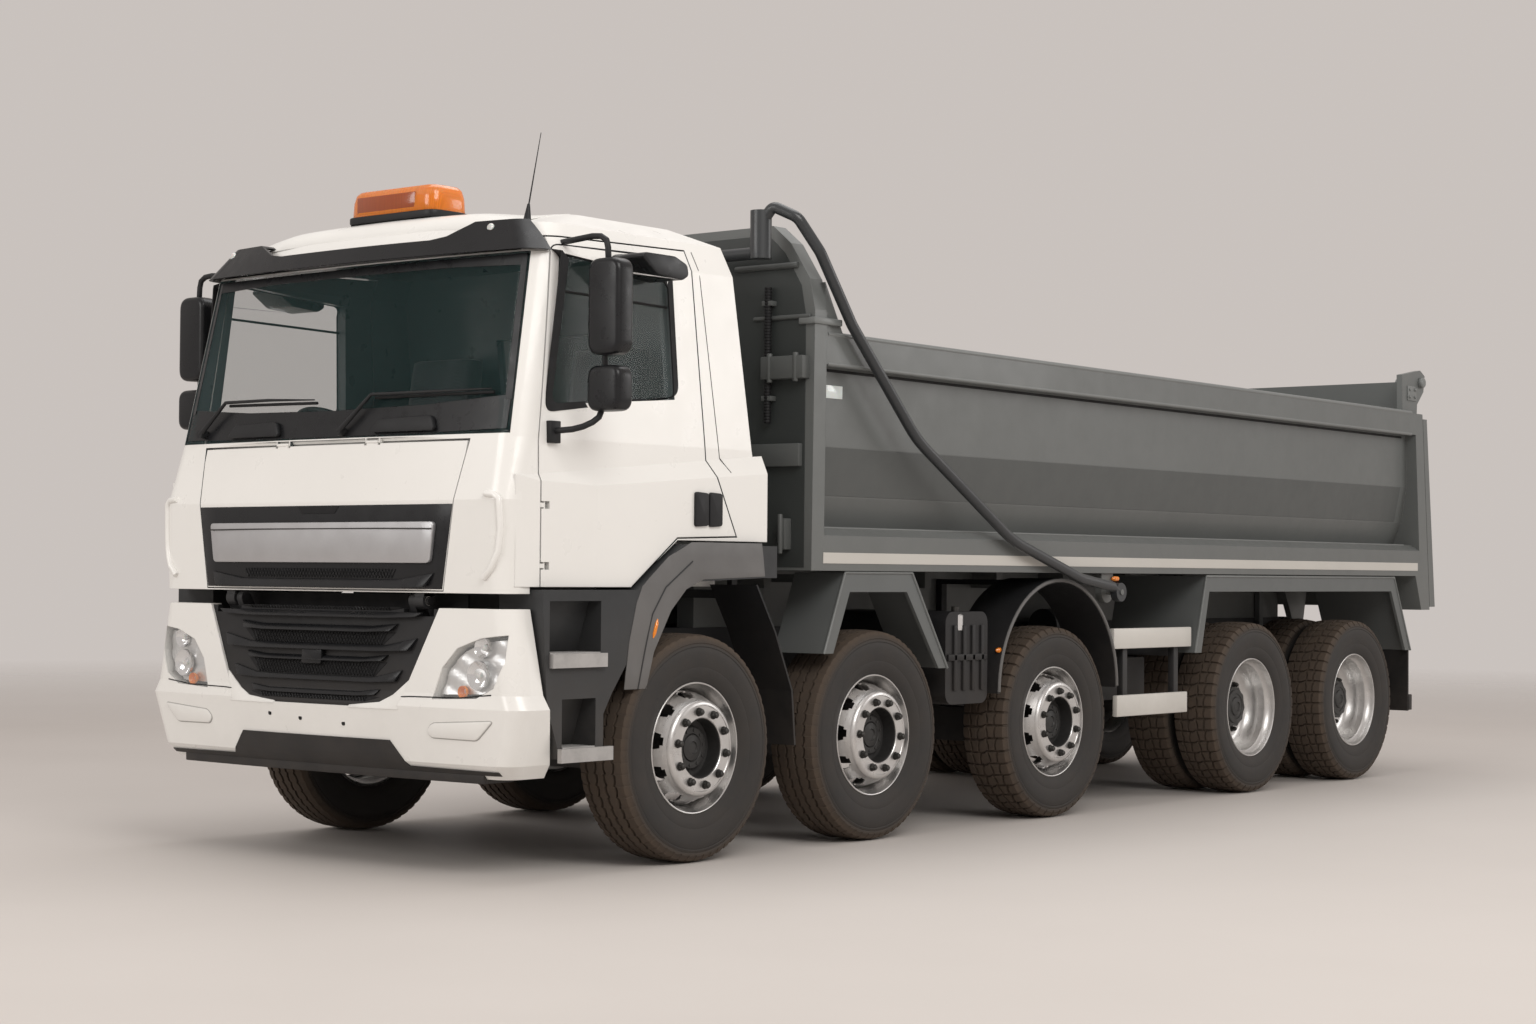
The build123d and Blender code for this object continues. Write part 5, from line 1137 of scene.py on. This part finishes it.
# ------------------------------------------------------------------ windscreen and roof
def make_screen():
    """Black borders of the windscreen, the sun visor's painted shadow on the glass's top, painted
    shade on the cab just under the visor, wipers and grips.
    """
    band = [(-1.070, 1.925), (-0.60, 1.915), (0.0, 1.912), (0.60, 1.915), (1.070, 1.925),
            (1.066, 2.072), (0.60, 2.042), (0.0, 2.032), (-0.60, 2.042), (-1.066, 2.072)]
    edge = [(1.030, 2.69), (1.072, 2.05), (1.040, 2.05), (1.004, 2.69)]
    # painted shadow of the sun visor across the top of the windscreen
    visor_shadow = [(-1.006, 2.690), (-1.016, 2.640), (-0.6, 2.652), (0.6, 2.652), (1.016, 2.640),
              (1.006, 2.690)]
    for name, outline, lift, step in (("band", band, 0.0022, 0.1), ("edge", edge, 0.002, 0.12),
                                      ("visor_shadow", visor_shadow, 0.0018, 0.1)):
        panel(f"screen_{name}", SCREEN, outline, "cab", "gloss_black", lift=lift,
              thick=0.003, step=step, bevel=0, mirror=name == "edge")
    # painted shade on the cab's face just under the sun visor
    under_visor = Skin("+x", ["cab_shell"])
    panel("screen_visor_shade", under_visor, both([(0.975, 2.765), (0.998, 2.708)]), "cab",
          "gloss_black", lift=0.003, thick=0.005, step=0.1, bevel=0)
    for name, pivot, elbow, tip in (("right", (-0.924, 1.951), (-0.752, 2.095), (-0.106, 2.085)),
                                    ("left", (0.094, 1.935), (0.278, 2.095), (0.982, 2.097))):
        form = Form()
        form.tube([SCREEN.lay(*pivot, 0.030), SCREEN.lay(*elbow, 0.040)], [0.013, 0.008], 10)
        form.tube([SCREEN.lay(*elbow, 0.040), SCREEN.lay((elbow[0] + tip[0]) / 2, elbow[1], 0.034),
                   SCREEN.lay(*tip, 0.030)], [0.008, 0.007, 0.003], 10)
        form.rod(SCREEN.lay(pivot[0], pivot[1], 0.0), SCREEN.lay(pivot[0], pivot[1], 0.040), 0.020)
        form.index = 1
        form.tube([SCREEN.lay(elbow[0] + (tip[0] - elbow[0]) * k / 10,
                              elbow[1] - 0.014 + (tip[1] - elbow[1]) * k / 10, 0.010)
                   for k in range(11)], 0.007, 8)
        form.piece(f"wiper_{name}", "cab", "black_plastic", ["black_plastic", "rubber_seal"])
    for name, low_y, high_y in (("right", -0.718, -0.329), ("left", 0.281, 0.681)):
        grip = rounded([(low_y, 1.925), (high_y, 1.925), (high_y - 0.03, 1.925 + 0.068),
                        (low_y + 0.05, 1.925 + 0.060)], 0.022)
        panel(f"screen_grip_{name}", SCREEN, grip, "cab", "black_plastic",
              lift=0.026, thick=0.024, step=0.1, bevel=0.008)


def make_crown():
    """Domed roof skin under the light bar."""
    profile = ((-0.15, 2.905), (0.0, 2.926), (0.3, 2.934), (0.6, 2.934), (0.72, 2.931),
               (0.80, 2.924), (0.85, 2.904), (0.88, 2.872), (0.894, 2.842))
    top = Skin("+z", ["cab_shell"])
    half, slope, camber = 0.86, 0.30, 0.022  # half width, fall towards its edges, sideways bow

    def dome(u, v):
        x = u - AXLE_1_X
        height = profile[-1][1]
        for (x0, z0), (x1, z1) in zip(profile, profile[1:]):
            if x0 <= x <= x1:
                height = z0 + (z1 - z0) * (x - x0) / (x1 - x0)
        fade = min(max((half - abs(v)) / slope, 0.0), 1.0)
        rise = max(height - camber * (v / half) ** 2 - top.lay(u, v).z, 0.0)
        return rise * fade * (2 - fade)
    outline = rounded(rect(at(-0.14), at(0.895), -0.84, 0.84), 0.10, 6)
    panel("roof_crown", top, outline, "cab", "cab_paint", lift=0.0015, thick=0.004,
          step=0.045, bevel=0, shape=dome)


def make_roof():
    """Light bar on a black foot, the whip aerial and the lamps in the visor."""
    body = body_of("roof_fittings")
    x0, x1 = at(0.562), at(0.800)
    half = 0.290
    form = Form()
    form.prism(rounded(rect(x0 - 0.006, x1 + 0.010, -half - 0.004, half + 0.004), 0.06), "z",
               2.930, 2.962)
    form.block(at(0.57), at(0.79), -0.28, 0.28, 2.90, 2.935)
    form.piece("beacon_foot", body, "black_plastic", "black_plastic", bevel=0.006,
               replaces=["roof_fittings"])
    plan = rounded(rect(x0, x1, -half, half), 0.075, 8)
    cx = (x0 + x1) / 2
    levels = ((2.962, 1.0), (3.030, 0.97), (3.066, 0.90), (3.082, 0.78))
    lens = Form()
    rings = [[lens.bm.verts.new((cx + (px - cx) * f, py * (1 - (1 - f) * 0.45), z))
              for px, py in plan] for z, f in levels]
    lens.cap(rings).walls(rings)
    lens.piece("beacon_lens", body, "amber_lamp", "amber_clear", bevel=0.004)
    core = Form()
    for y in (-0.20, -0.07, 0.07, 0.20):
        core.revolve([(0.0, 2.966), (0.052, 2.966), (0.060, 3.02), (0.036, 3.052), (0.0, 3.055)],
                     (cx, y, 0.0), "z", 28)
    core.piece("beacon_core", body, "amber_lamp", "amber_lamp")
    # painted shade: a darker amber block inside the lens's front end
    window = Form()
    window.block(x1 - 0.018, x1 - 0.001, -0.225, 0.165, 2.972, 3.052)
    window.piece("beacon_front_shade", body, "amber_lamp", "amber_deep", bevel=0.004)
    aerial = Form()
    aerial.tube([(at(0.815), 0.9, 2.835), (at(0.812), 0.9, 2.87), (at(0.805), 0.9, 2.93)],
                [0.020, 0.016, 0.006], 14)
    aerial.tube([(at(0.805), 0.9, 2.925), (at(0.732), 0.9, 3.255)], [0.0036, 0.0016], 8)
    aerial.piece("aerial_whip", body, "black_plastic", "black_plastic")
    visor = Skin("+x", ["sun_visor"], at(1.0))
    form = Form()
    for y in (0.823, -0.940):
        spot = visor.lay(y, 2.815, 0.0)
        form.revolve([(0.0, 0.008), (0.015, 0.006), (0.019, 0.0), (0.019, -0.006), (0.0, -0.006)],
                     spot, "x", 24)
    form.piece("visor_lamps", body_of("sun_visor"), "lamp_glass", "white_lamp")


# ------------------------------------------------------------------ doors, mirrors and steps
def make_doors():
    """Window surrounds and bars, handles, the cab's seam and the mirrors' glasses."""
    for side, sign in SIDES:
        body = f"door_{side}"
        face = DOOR_FACE[side]
        outer = rounded([(0.944, 1.998), (0.872, 2.737), (0.098, 2.757), (0.070, 2.118)], 0.055, 6)
        inner = rounded([(0.900, 2.040), (0.832, 2.695), (0.130, 2.648), (0.100, 2.104)], 0.045, 6)
        ring_panel(f"window_surround_{side}", face,
                   [(at(u), v) for u, v in outer], [(at(u), v) for u, v in inner], body,
                   "black_plastic", "rubber_seal", lift=0.004, thick=0.007)
        laid_line(f"window_bar_{side}", face, along([(0.845, 2.535), (0.125, 2.520)]), body,
                  "black_plastic", "rubber_seal", radius=0.006, lift=0.002)
        for part, x0, x1 in (("front", 0.010, -0.082), ("rear", -0.090, -0.180)):
            outline = rounded(along([(x0, 1.525), (x1, 1.530), (x1, 1.680), (x0, 1.685)]),
                              0.016)
            panel(f"door_handle_{part}_{side}", face, outline, body,
                  "black_plastic", lift=0.014, thick=0.015, step=0.2, bevel=0.004)
        seam = along([(-0.085, 2.795), (-0.211, 1.847), (-0.262, 1.780)])
        laid_line(f"cab_seam_{side}", CAB_SIDE[side], seam, "cab", "cab_paint", "rubber_seal",
                  radius=0.002)
        rear_face = Skin("-x", [f"mirrors_{side}"], at(0.740))
        for name, z0, z1 in (("tall", 2.275, 2.625), ("wide", 2.030, 2.170)):
            glass = rounded(rect(sign * 1.312, sign * 1.458, z0, z1), 0.018)
            panel(f"mirror_{name}_{side}", rear_face, glass, body, "chrome",
                  lift=0.0025, thick=0.003, step=0.3, bevel=0)


def make_mirrors():
    """Rounded housings on bent arms, and the kerb mirror's hood above the window."""
    for side, sign in SIDES:
        form = Form()
        for z0, z1, corner in ((2.242, 2.658, 0.062), (2.002, 2.198, 0.055)):
            outline = rounded(rect(sign * 1.292, sign * 1.478, z0, z1), corner, 7)
            form.prism(outline, "x", at(0.742), at(0.848))
        form.piece(f"mirror_heads_{side}", f"door_{side}", "gloss_black", "gloss_black",
                           bevel=0.024, segments=4, replaces=[f"mirrors_{side}"])
        arms = Form()
        arms.tube([(at(x), sign * y, z) for x, y, z in (
            (0.905, 1.158, 1.920), (0.903, 1.20, 1.921), (0.896, 1.262, 1.924),
            (0.876, 1.305, 1.935), (0.842, 1.330, 1.955), (0.815, 1.342, 1.978),
            (0.802, 1.349, 2.015))], 0.0135, 14)
        arms.rod((at(0.800), sign * 1.360, 2.190), (at(0.800), sign * 1.360, 2.255), 0.013)
        arms.tube([(at(x), sign * y, z) for x, y, z in (
            (0.790, 1.085, 2.748), (0.795, 1.20, 2.755), (0.799, 1.280, 2.760),
            (0.800, 1.330, 2.756), (0.800, 1.362, 2.738), (0.800, 1.372, 2.705),
            (0.800, 1.375, 2.650))], 0.0135, 14)
        arms.side_block(sign, 0.874, 0.936, 1.132, 1.176, 1.867, 1.963)
        arms.piece(f"mirror_arms_{side}", f"door_{side}", "gloss_black", "black_plastic",
                   bevel=0.004)
        hood = Form()
        section = rounded(along([(0.520, 2.700), (0.500, 2.721), (0.300, 2.721), (0.217, 2.690),
                                 (0.207, 2.642), (0.250, 2.617), (0.420, 2.632)]), 0.016)
        hood.prism(section, "y", *sorted((sign * 1.122, sign * 1.318)))
        hood.side_block(sign, 0.332, 0.468, 1.085, 1.148, 2.701, 2.727)
        hood.piece(f"kerb_mirror_{side}", f"door_{side}", "gloss_black", "gloss_black", bevel=0.010,
                   segments=3)


def make_steps():
    """Satin band round the arch, its marker and split, and ribbed treads."""
    outer = [(0.507, 0.80), (0.479, 1.006), (0.431, 1.182), (0.394, 1.254), (0.217, 1.387),
             (0.06, 1.454)]
    crease = [(0.419, 0.80), (0.377, 0.962), (0.328, 1.131), (0.24, 1.25), (0.058, 1.367)]
    body = body_of("step_wells")
    for side, sign in SIDES:
        face = WELL_SIDE[side]
        outline = [(at(u), v) for u, v in outer] + along([(-0.441, 1.455), (-0.463, 1.300),
                                                          (-0.023, 1.285), (0.096, 1.240),
                                                          (0.199, 1.145), (0.313, 0.961),
                                                          (0.362, 0.80)])
        panel(f"arch_band_{side}", face, outline, body,
              "arch_plastic", lift=0.003, thick=0.005, step=0.06, bevel=0.002)
        laid_line(f"arch_crease_{side}", face, [(at(u), v) for u, v in crease],
                  body, "black_plastic", "step_plastic", radius=0.0035, lift=0.004)
        marker = Form()
        marker.tube([face.lay(at(0.291), 1.108, 0.001), face.lay(at(0.298), 1.088, 0.002),
                     face.lay(at(0.313), 1.044, 0.002), face.lay(at(0.320), 1.024, 0.001)],
                    [0.004, 0.010, 0.010, 0.004], 12)
        marker.piece(f"arch_marker_{side}", body, "amber_lamp", "amber_lamp")
        liner = Form()
        for x0, x1, low, top in ((0.658, 0.982, 0.963, 1.192), (0.688, 0.902, 0.558, 0.772)):
            section = [(sign * 1.150, top), (sign * 1.075, low), (sign * 1.018, low),
                       (sign * 1.018, top)]
            liner.prism(section, "x", at(x0), at(x1))
        liner.piece(f"well_liner_{side}", body, "black_plastic", "step_plastic",
                    bevel=0.004)
        ribs = Form()
        for x0, x1, z in ((0.664, 0.976, 0.965), (0.694, 0.896, 0.560)):
            for k in range(7):
                y = sign * (1.088 + 0.021 * k)
                low, high = sorted((y, y + sign * 0.009))
                ribs.block(at(x0), at(x1), low, high, z - 0.001, z + 0.005)
        ribs.piece(f"tread_ribs_{side}", body_of("step_treads"), "tread_aluminium",
                   "tread_aluminium")


make_hatch()
make_lower_grille()
make_bumper()
make_front_gap()
make_headlamps()
make_deflectors()
make_screen()
make_crown()
make_roof()
make_doors()
make_mirrors()
make_steps()


# ------------------------------------------------------------------ bed
BED_SIDE = side_skins(1.17, "bed")
HEADBOARD = Skin("+x", ["bed"], at(-0.78))
GATE_REAR = Skin("-x", ["tailgate"], at(-7.65))
BED_FRONT, BED_REAR = -0.885, -7.350


RAIL_FRONT, RAIL_TOP, RAIL_SLOPE = -0.78, 2.470, 0.038 / 6.73


def rail_z(x):
    """Height of the top rail's upper face at a place along the bed."""
    return RAIL_TOP - RAIL_SLOPE * (RAIL_FRONT - x)


def make_bed_sides():
    """Reflecting strip, a facet painted darker as shade, rolled rails and a ledge painted lighter
    as highlights, the rails' shadow line, and a marker.
    """
    for side, sign in SIDES:
        face = BED_SIDE[side]
        strip = rect(at(-0.87), at(-7.45), 1.365, 1.418)
        panel(f"bed_strip_{side}", face, strip, "bed", "strip", lift=0.002,
              thick=0.003, step=0.8, bevel=0)
        # the facet leans inward downward; its darker paint is painted shade
        facet = along([(BED_FRONT, 1.697), (BED_REAR, 1.697), (BED_REAR, 1.930),
                       (BED_FRONT, 1.930)])
        panel(f"bed_facet_{side}", face, facet, "bed", "bed_dark", lift=0.0015,
              thick=0.002, step=0.8, bevel=0)
        form = Form()
        x0, x1 = -0.90, -7.36
        # the rolled rails are painted lighter as highlights
        for drop, r in ((-0.002, 0.014), (0.141, 0.012)):
            form.tube([(at(x0), sign * 1.240, rail_z(x0) - drop),
                       (at(x1), sign * 1.240, rail_z(x1) - drop)], r, 14)
        form.piece(f"bed_rail_rolls_{side}", "bed", "bed_grey", "bed_light")
        shade = along([(BED_FRONT, 2.312), (BED_REAR, 2.276), (BED_REAR, 2.262),
                       (BED_FRONT, 2.298)])
        panel(f"bed_rail_shade_{side}", face, shade, "bed", "rubber_seal", lift=0.001,
              thick=0.002, step=0.8, bevel=0)
        # the ledge is a line painted lighter as the highlight on its chamfer
        laid_line(f"bed_ledge_{side}", face, along([(BED_FRONT, 1.538), (BED_REAR, 1.538)]), "bed",
                  "bed_grey", "bed_light", radius=0.006, step=1.0)
    plate = along([(-0.955, 2.170), (-1.110, 2.170), (-1.110, 2.233), (-0.955, 2.233)])
    panel("bed_marker", BED_SIDE["left"], plate, "bed", "white_lamp", lift=0.002,
          thick=0.003, step=0.4, bevel=0.001)


def make_headboard():
    """Face painted near-black as its shade, swages and latch brackets in the bed's darker painted
    shade, a ribbed hose, and a cap on each front post painted lighter as a highlight.
    """
    for side, sign in SIDES:
        face = [(sign * 0.215, 1.345), (sign * 1.205, 1.345), (sign * 1.207, 2.560),
                (sign * 1.180, 2.700), (sign * 1.078, 2.862), (sign * 0.975, 2.955),
                (sign * 0.215, 2.955)]
        # the face is painted near-black as the shade that falls on it
        panel(f"headboard_shade_face_{side}", HEADBOARD, face, "bed", "headboard_dark",
              lift=0.0012, thick=0.002, step=0.5, bevel=0)
        # the post cap is painted lighter as a highlight
        cap = Form()
        cap.side_block(sign, -0.985, -0.766, 1.170, 1.272, 2.512, 2.545)
        cap.piece(f"post_cap_{side}", "bed", "bed_grey", "bed_light", bevel=0.006)
        form = Form()
        for z, y0, y1, r in ((2.80, 0.77, 1.16, 0.016), (2.55, 0.89, 1.24, 0.012)):
            path = [HEADBOARD.lay(sign * (y0 + (y1 - y0) * k / 6), z, 0.004) for k in range(7)]
            form.tube(path, r, 12)
        for y0, y1, z0, z1, deep in ((0.97, 1.23, 2.25, 2.36, 0.055),
                                     (0.865, 1.19, 1.83, 1.94, 0.03),
                                     (1.085, 1.125, 1.43, 1.58, 0.05)):
            form.side_block(sign, -0.790, -0.780 + deep, y0, y1, z0, z1)
        for y in (1.02, 1.18):
            form.rod((at(-0.735), sign * y, 2.235), (at(-0.735), sign * y, 2.375), 0.014)
        form.rod((at(-0.72), sign * 1.105, 1.41), (at(-0.72), sign * 1.105, 1.60), 0.012)
        # the headboard's fittings take the darker painted shade of the face they sit on
        form.piece(f"headboard_fittings_{side}", "bed", "bed_grey", "bed_dark", bevel=0.004)
    hose = Form()
    count = 90
    path = [(at(-0.752), 0.995, 2.70 - 0.66 * k / count) for k in range(count + 1)]
    hose.tube(path, [0.016 + 0.003 * (k % 2) for k in range(count + 1)], 12)
    hose.piece("headboard_hose", "bed", "black_plastic", "rubber_seal")
    brackets = Form()
    for z in (2.62, 2.16):
        brackets.block(at(-0.785), at(-0.738), 0.965, 1.025, z - 0.012, z + 0.012)
    # the hose clips take the same darker painted shade
    brackets.piece("hose_clips", "bed", "bed_grey", "bed_dark", bevel=0.002)


def make_gate():
    """Level and upright beads on the outer face of the tailgate, painted lighter as highlights."""
    form = Form()
    for z in (1.32, 1.78, 2.22):
        low, high = GATE_REAR.lay(-1.05, z, 0.0), GATE_REAR.lay(1.05, z, 0.0)
        form.tube([low + Vector((0.004, 0, 0)), high + Vector((0.004, 0, 0))], 0.012, 12)
    for y in (-0.72, 0.0, 0.72):
        path = [GATE_REAR.lay(y, 1.25 + 1.15 * k / 6, -0.004) for k in range(7)]
        form.tube(path, 0.012, 12)
    form.piece("gate_beads", "tailgate", "bed_grey", "bed_light")


def make_lug_fittings():
    """Pin heads, plates and bolts at the tailgate's top pins, painted lighter as highlights."""
    form = Form()
    pin_x, pin_z = -4.305, 2.650
    for sign in (1, -1):
        form.revolve([(0.0, 0.030), (0.030, 0.028), (0.036, 0.020), (0.036, 0.0), (0.0, 0.0)],
                     (pin_x, sign * 1.2205, pin_z), "y", 32)
        low, high = sorted((sign * 1.219, sign * 1.228))
        form.block(pin_x + 0.075, pin_x + 0.205, low, high, 2.520, 2.620)
        for dx in (0.10, 0.18):
            for z in (2.545, 2.595):
                low, high = sorted((sign * 1.226, sign * 1.238))
                form.rod((pin_x + dx, low, z), (pin_x + dx, high, z), 0.011, 6)
    form.piece("lug_fittings", "bed", "bed_grey", "bed_light", bevel=0.002)


make_bed_sides()
make_lug_fittings()
make_headboard()
make_gate()


# ------------------------------------------------------------------ chassis side
GUARD_2 = along([(-0.895, 0.930), (-1.058, 1.322), (-1.613, 1.322), (-1.925, 0.838)])
GUARD_REAR = along([(-4.456, 0.866), (-4.583, 1.318), (-7.109, 1.318), (-7.357, 0.830)])


def make_guard_edges():
    """Folded edges along the outer side of the angular mudguards and of the round one, painted
    lighter than the guards as highlights.
    """
    body = body_of("grey_mudguards")
    for side, sign in SIDES:
        form = Form()
        for path in (GUARD_2, GUARD_REAR):
            form.tube([(x, sign * 1.2405, z) for x, z in path], 0.0075, 10)
        form.piece(f"guard_edges_{side}", body, "guard_grey", "bed_light")
        # the round guard's edge is painted pale grey as a highlight on the black guard
        arc = Form()
        half_circle = circle(80, 0.590)[:41]
        arc.tube([(AXLES["3"] + x, sign * 1.238, 0.700 + z) for x, z in half_circle], 0.010, 10)
        arc.piece(f"round_guard_edge_{side}", body_of("black_mudguards"), "black_plastic",
                  "arch_plastic")


def make_rails():
    """Cream side rails on dark brackets, and the lamp at each rear flap."""
    for side, sign in SIDES:
        form = Form()
        for x0, x1, z0, z1 in ((-3.580, -4.446, 0.904, 1.019), (-3.616, -4.400, 0.521, 0.641)):
            form.side_block(sign, x1, x0, 1.190, 1.222, z0, z1)
        form.index = 1
        for x in (-3.751, -4.321):
            form.side_block(sign, x - 0.025, x + 0.025, 1.150, 1.191, 0.521, 1.019)
            form.side_block(sign, x - 0.025, x + 0.025, 0.433, 1.151, 0.850, 0.900)
        form.piece(f"side_rails_{side}", body_of("side_guards"), "rail_white",
                   ["rail_white", "chassis_paint"], bevel=0.005,
                   replaces=["side_guards"] if side == "left" else ())
        lamp = Form()
        lamp.side_block(sign, -7.400, -7.352, 1.180, 1.236, 0.425, 0.530)
        lamp.piece(f"flap_lamp_{side}", body_of("black_mudguards"), "black_plastic",
                   "black_plastic", bevel=0.006)


def make_side_box():
    """Ribs, strap and the small canister of the black box behind axle 2."""
    body = body_of("side_tanks")
    ribs = [(x - 0.014, x + 0.014, 0.715, 1.055) for x in (-2.045 - 0.082 * k for k in range(4))]
    for side, sign in SIDES:
        form = Form()
        for x0, x1, z0, z1 in ribs + [(-2.335, -1.980, 0.870, 0.905)]:
            form.side_block(sign, x0, x1, 1.198, 1.212, z0, z1)
        form.piece(f"side_box_ribs_{side}", body, "tank_black", "black_plastic", bevel=0.005)
    can = Form()
    can.revolve([(0.0, 1.028), (0.040, 1.028), (0.042, 1.040), (0.042, 1.105), (0.030, 1.118),
                 (0.0, 1.118)], (at(-2.10), 1.165, 0.0), "z", 28)
    can.index = 1
    can.revolve([(0.0, 1.118), (0.020, 1.118), (0.020, 1.150), (0.0, 1.152)],
                (at(-2.10), 1.165, 0.0), "z", 20)
    can.piece("side_canister", body, "tank_black", ["reflector", "nut_dark"])


def make_side_lamps():
    """Amber markers along the chassis and the tail lamps' lenses."""
    form = Form()
    for x, y, z in ((-2.440, 1.212, 0.919), (-3.557, 1.236, 1.300)):
        form.tube([(at(x + dx), y + dy, z) for dx, dy in ((-0.030, 0.0), (-0.018, 0.006),
                                                          (0.018, 0.006), (0.030, 0.0))],
                  [0.006, 0.014, 0.014, 0.006])
    form.mirrored()
    form.piece("side_lamps", "chassis", "amber_lamp", "amber_lamp")
    rear = Form()
    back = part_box("rear_underrun")[0].x - AXLE_1_X
    for sign in (1, -1):
        rear.side_block(sign, back - 0.003, back + 0.012, 0.790, 1.090, 0.670, 0.728)
    rear.piece("tail_lenses", body_of("rear_underrun"), "amber_lamp", "red_lamp", bevel=0.003)


# ------------------------------------------------------------------ seats
def make_seats():
    """Cushion and back with bolsters on each pedestal."""
    body = body_of("seats")
    fill, half = 0.96, 0.222  # share of its own box that a cushion takes up, and half its width
    pedestals = Form()
    for side, sign in reversed(SIDES):
        y = sign * 0.56
        pedestals.side_block(sign, 0.00, 0.34, 0.446, 0.735, 1.3105, 1.640)
        parts = (("cushion", at(-0.068), at(0.398), 1.642, 1.758, 0.0),
                 ("back", at(-0.085), at(0.020), 1.70, 2.385, -0.13))
        for name, x0, x1, z0, z1, lean in parts:
            bm = bmesh.new()
            bmesh.ops.create_cube(bm, size=1.0)
            bmesh.ops.subdivide_edges(bm, edges=bm.edges[:], cuts=9, use_grid_fill=True)
            for vert in bm.verts:
                u, v, w = vert.co * 2
                squeeze = 1 - 0.05 * (u * u + w * w) * (1 if name == "back" else 0.6)
                bolster = 0.010 * math.cos(v * math.pi * 1.5)
                x = (x0 + x1) / 2 + (x1 - x0) / 2 * u * fill
                z = (z0 + z1) / 2 + (z1 - z0) / 2 * w * fill
                if name == "back":
                    x += lean * (z - z0) - bolster * (u > 0.9)
                else:
                    z -= bolster * (w > 0.9)
                vert.co = (x, y + half * v * squeeze, z)
            bmesh.ops.smooth_vert(bm, verts=bm.verts[:], factor=0.5, use_axis_x=True,
                                  use_axis_y=True, use_axis_z=True)
            piece = object_from(f"seat_{name}_{side}", bm, 60)
            finish_piece(piece, body, "seat_fabric")
    pedestals.piece("seat_pedestals", body, "black_plastic", "black_plastic", bevel=0.01,
                    replaces=["seats"])


make_guard_edges()
make_rails()
make_side_box()
make_side_lamps()
make_seats()
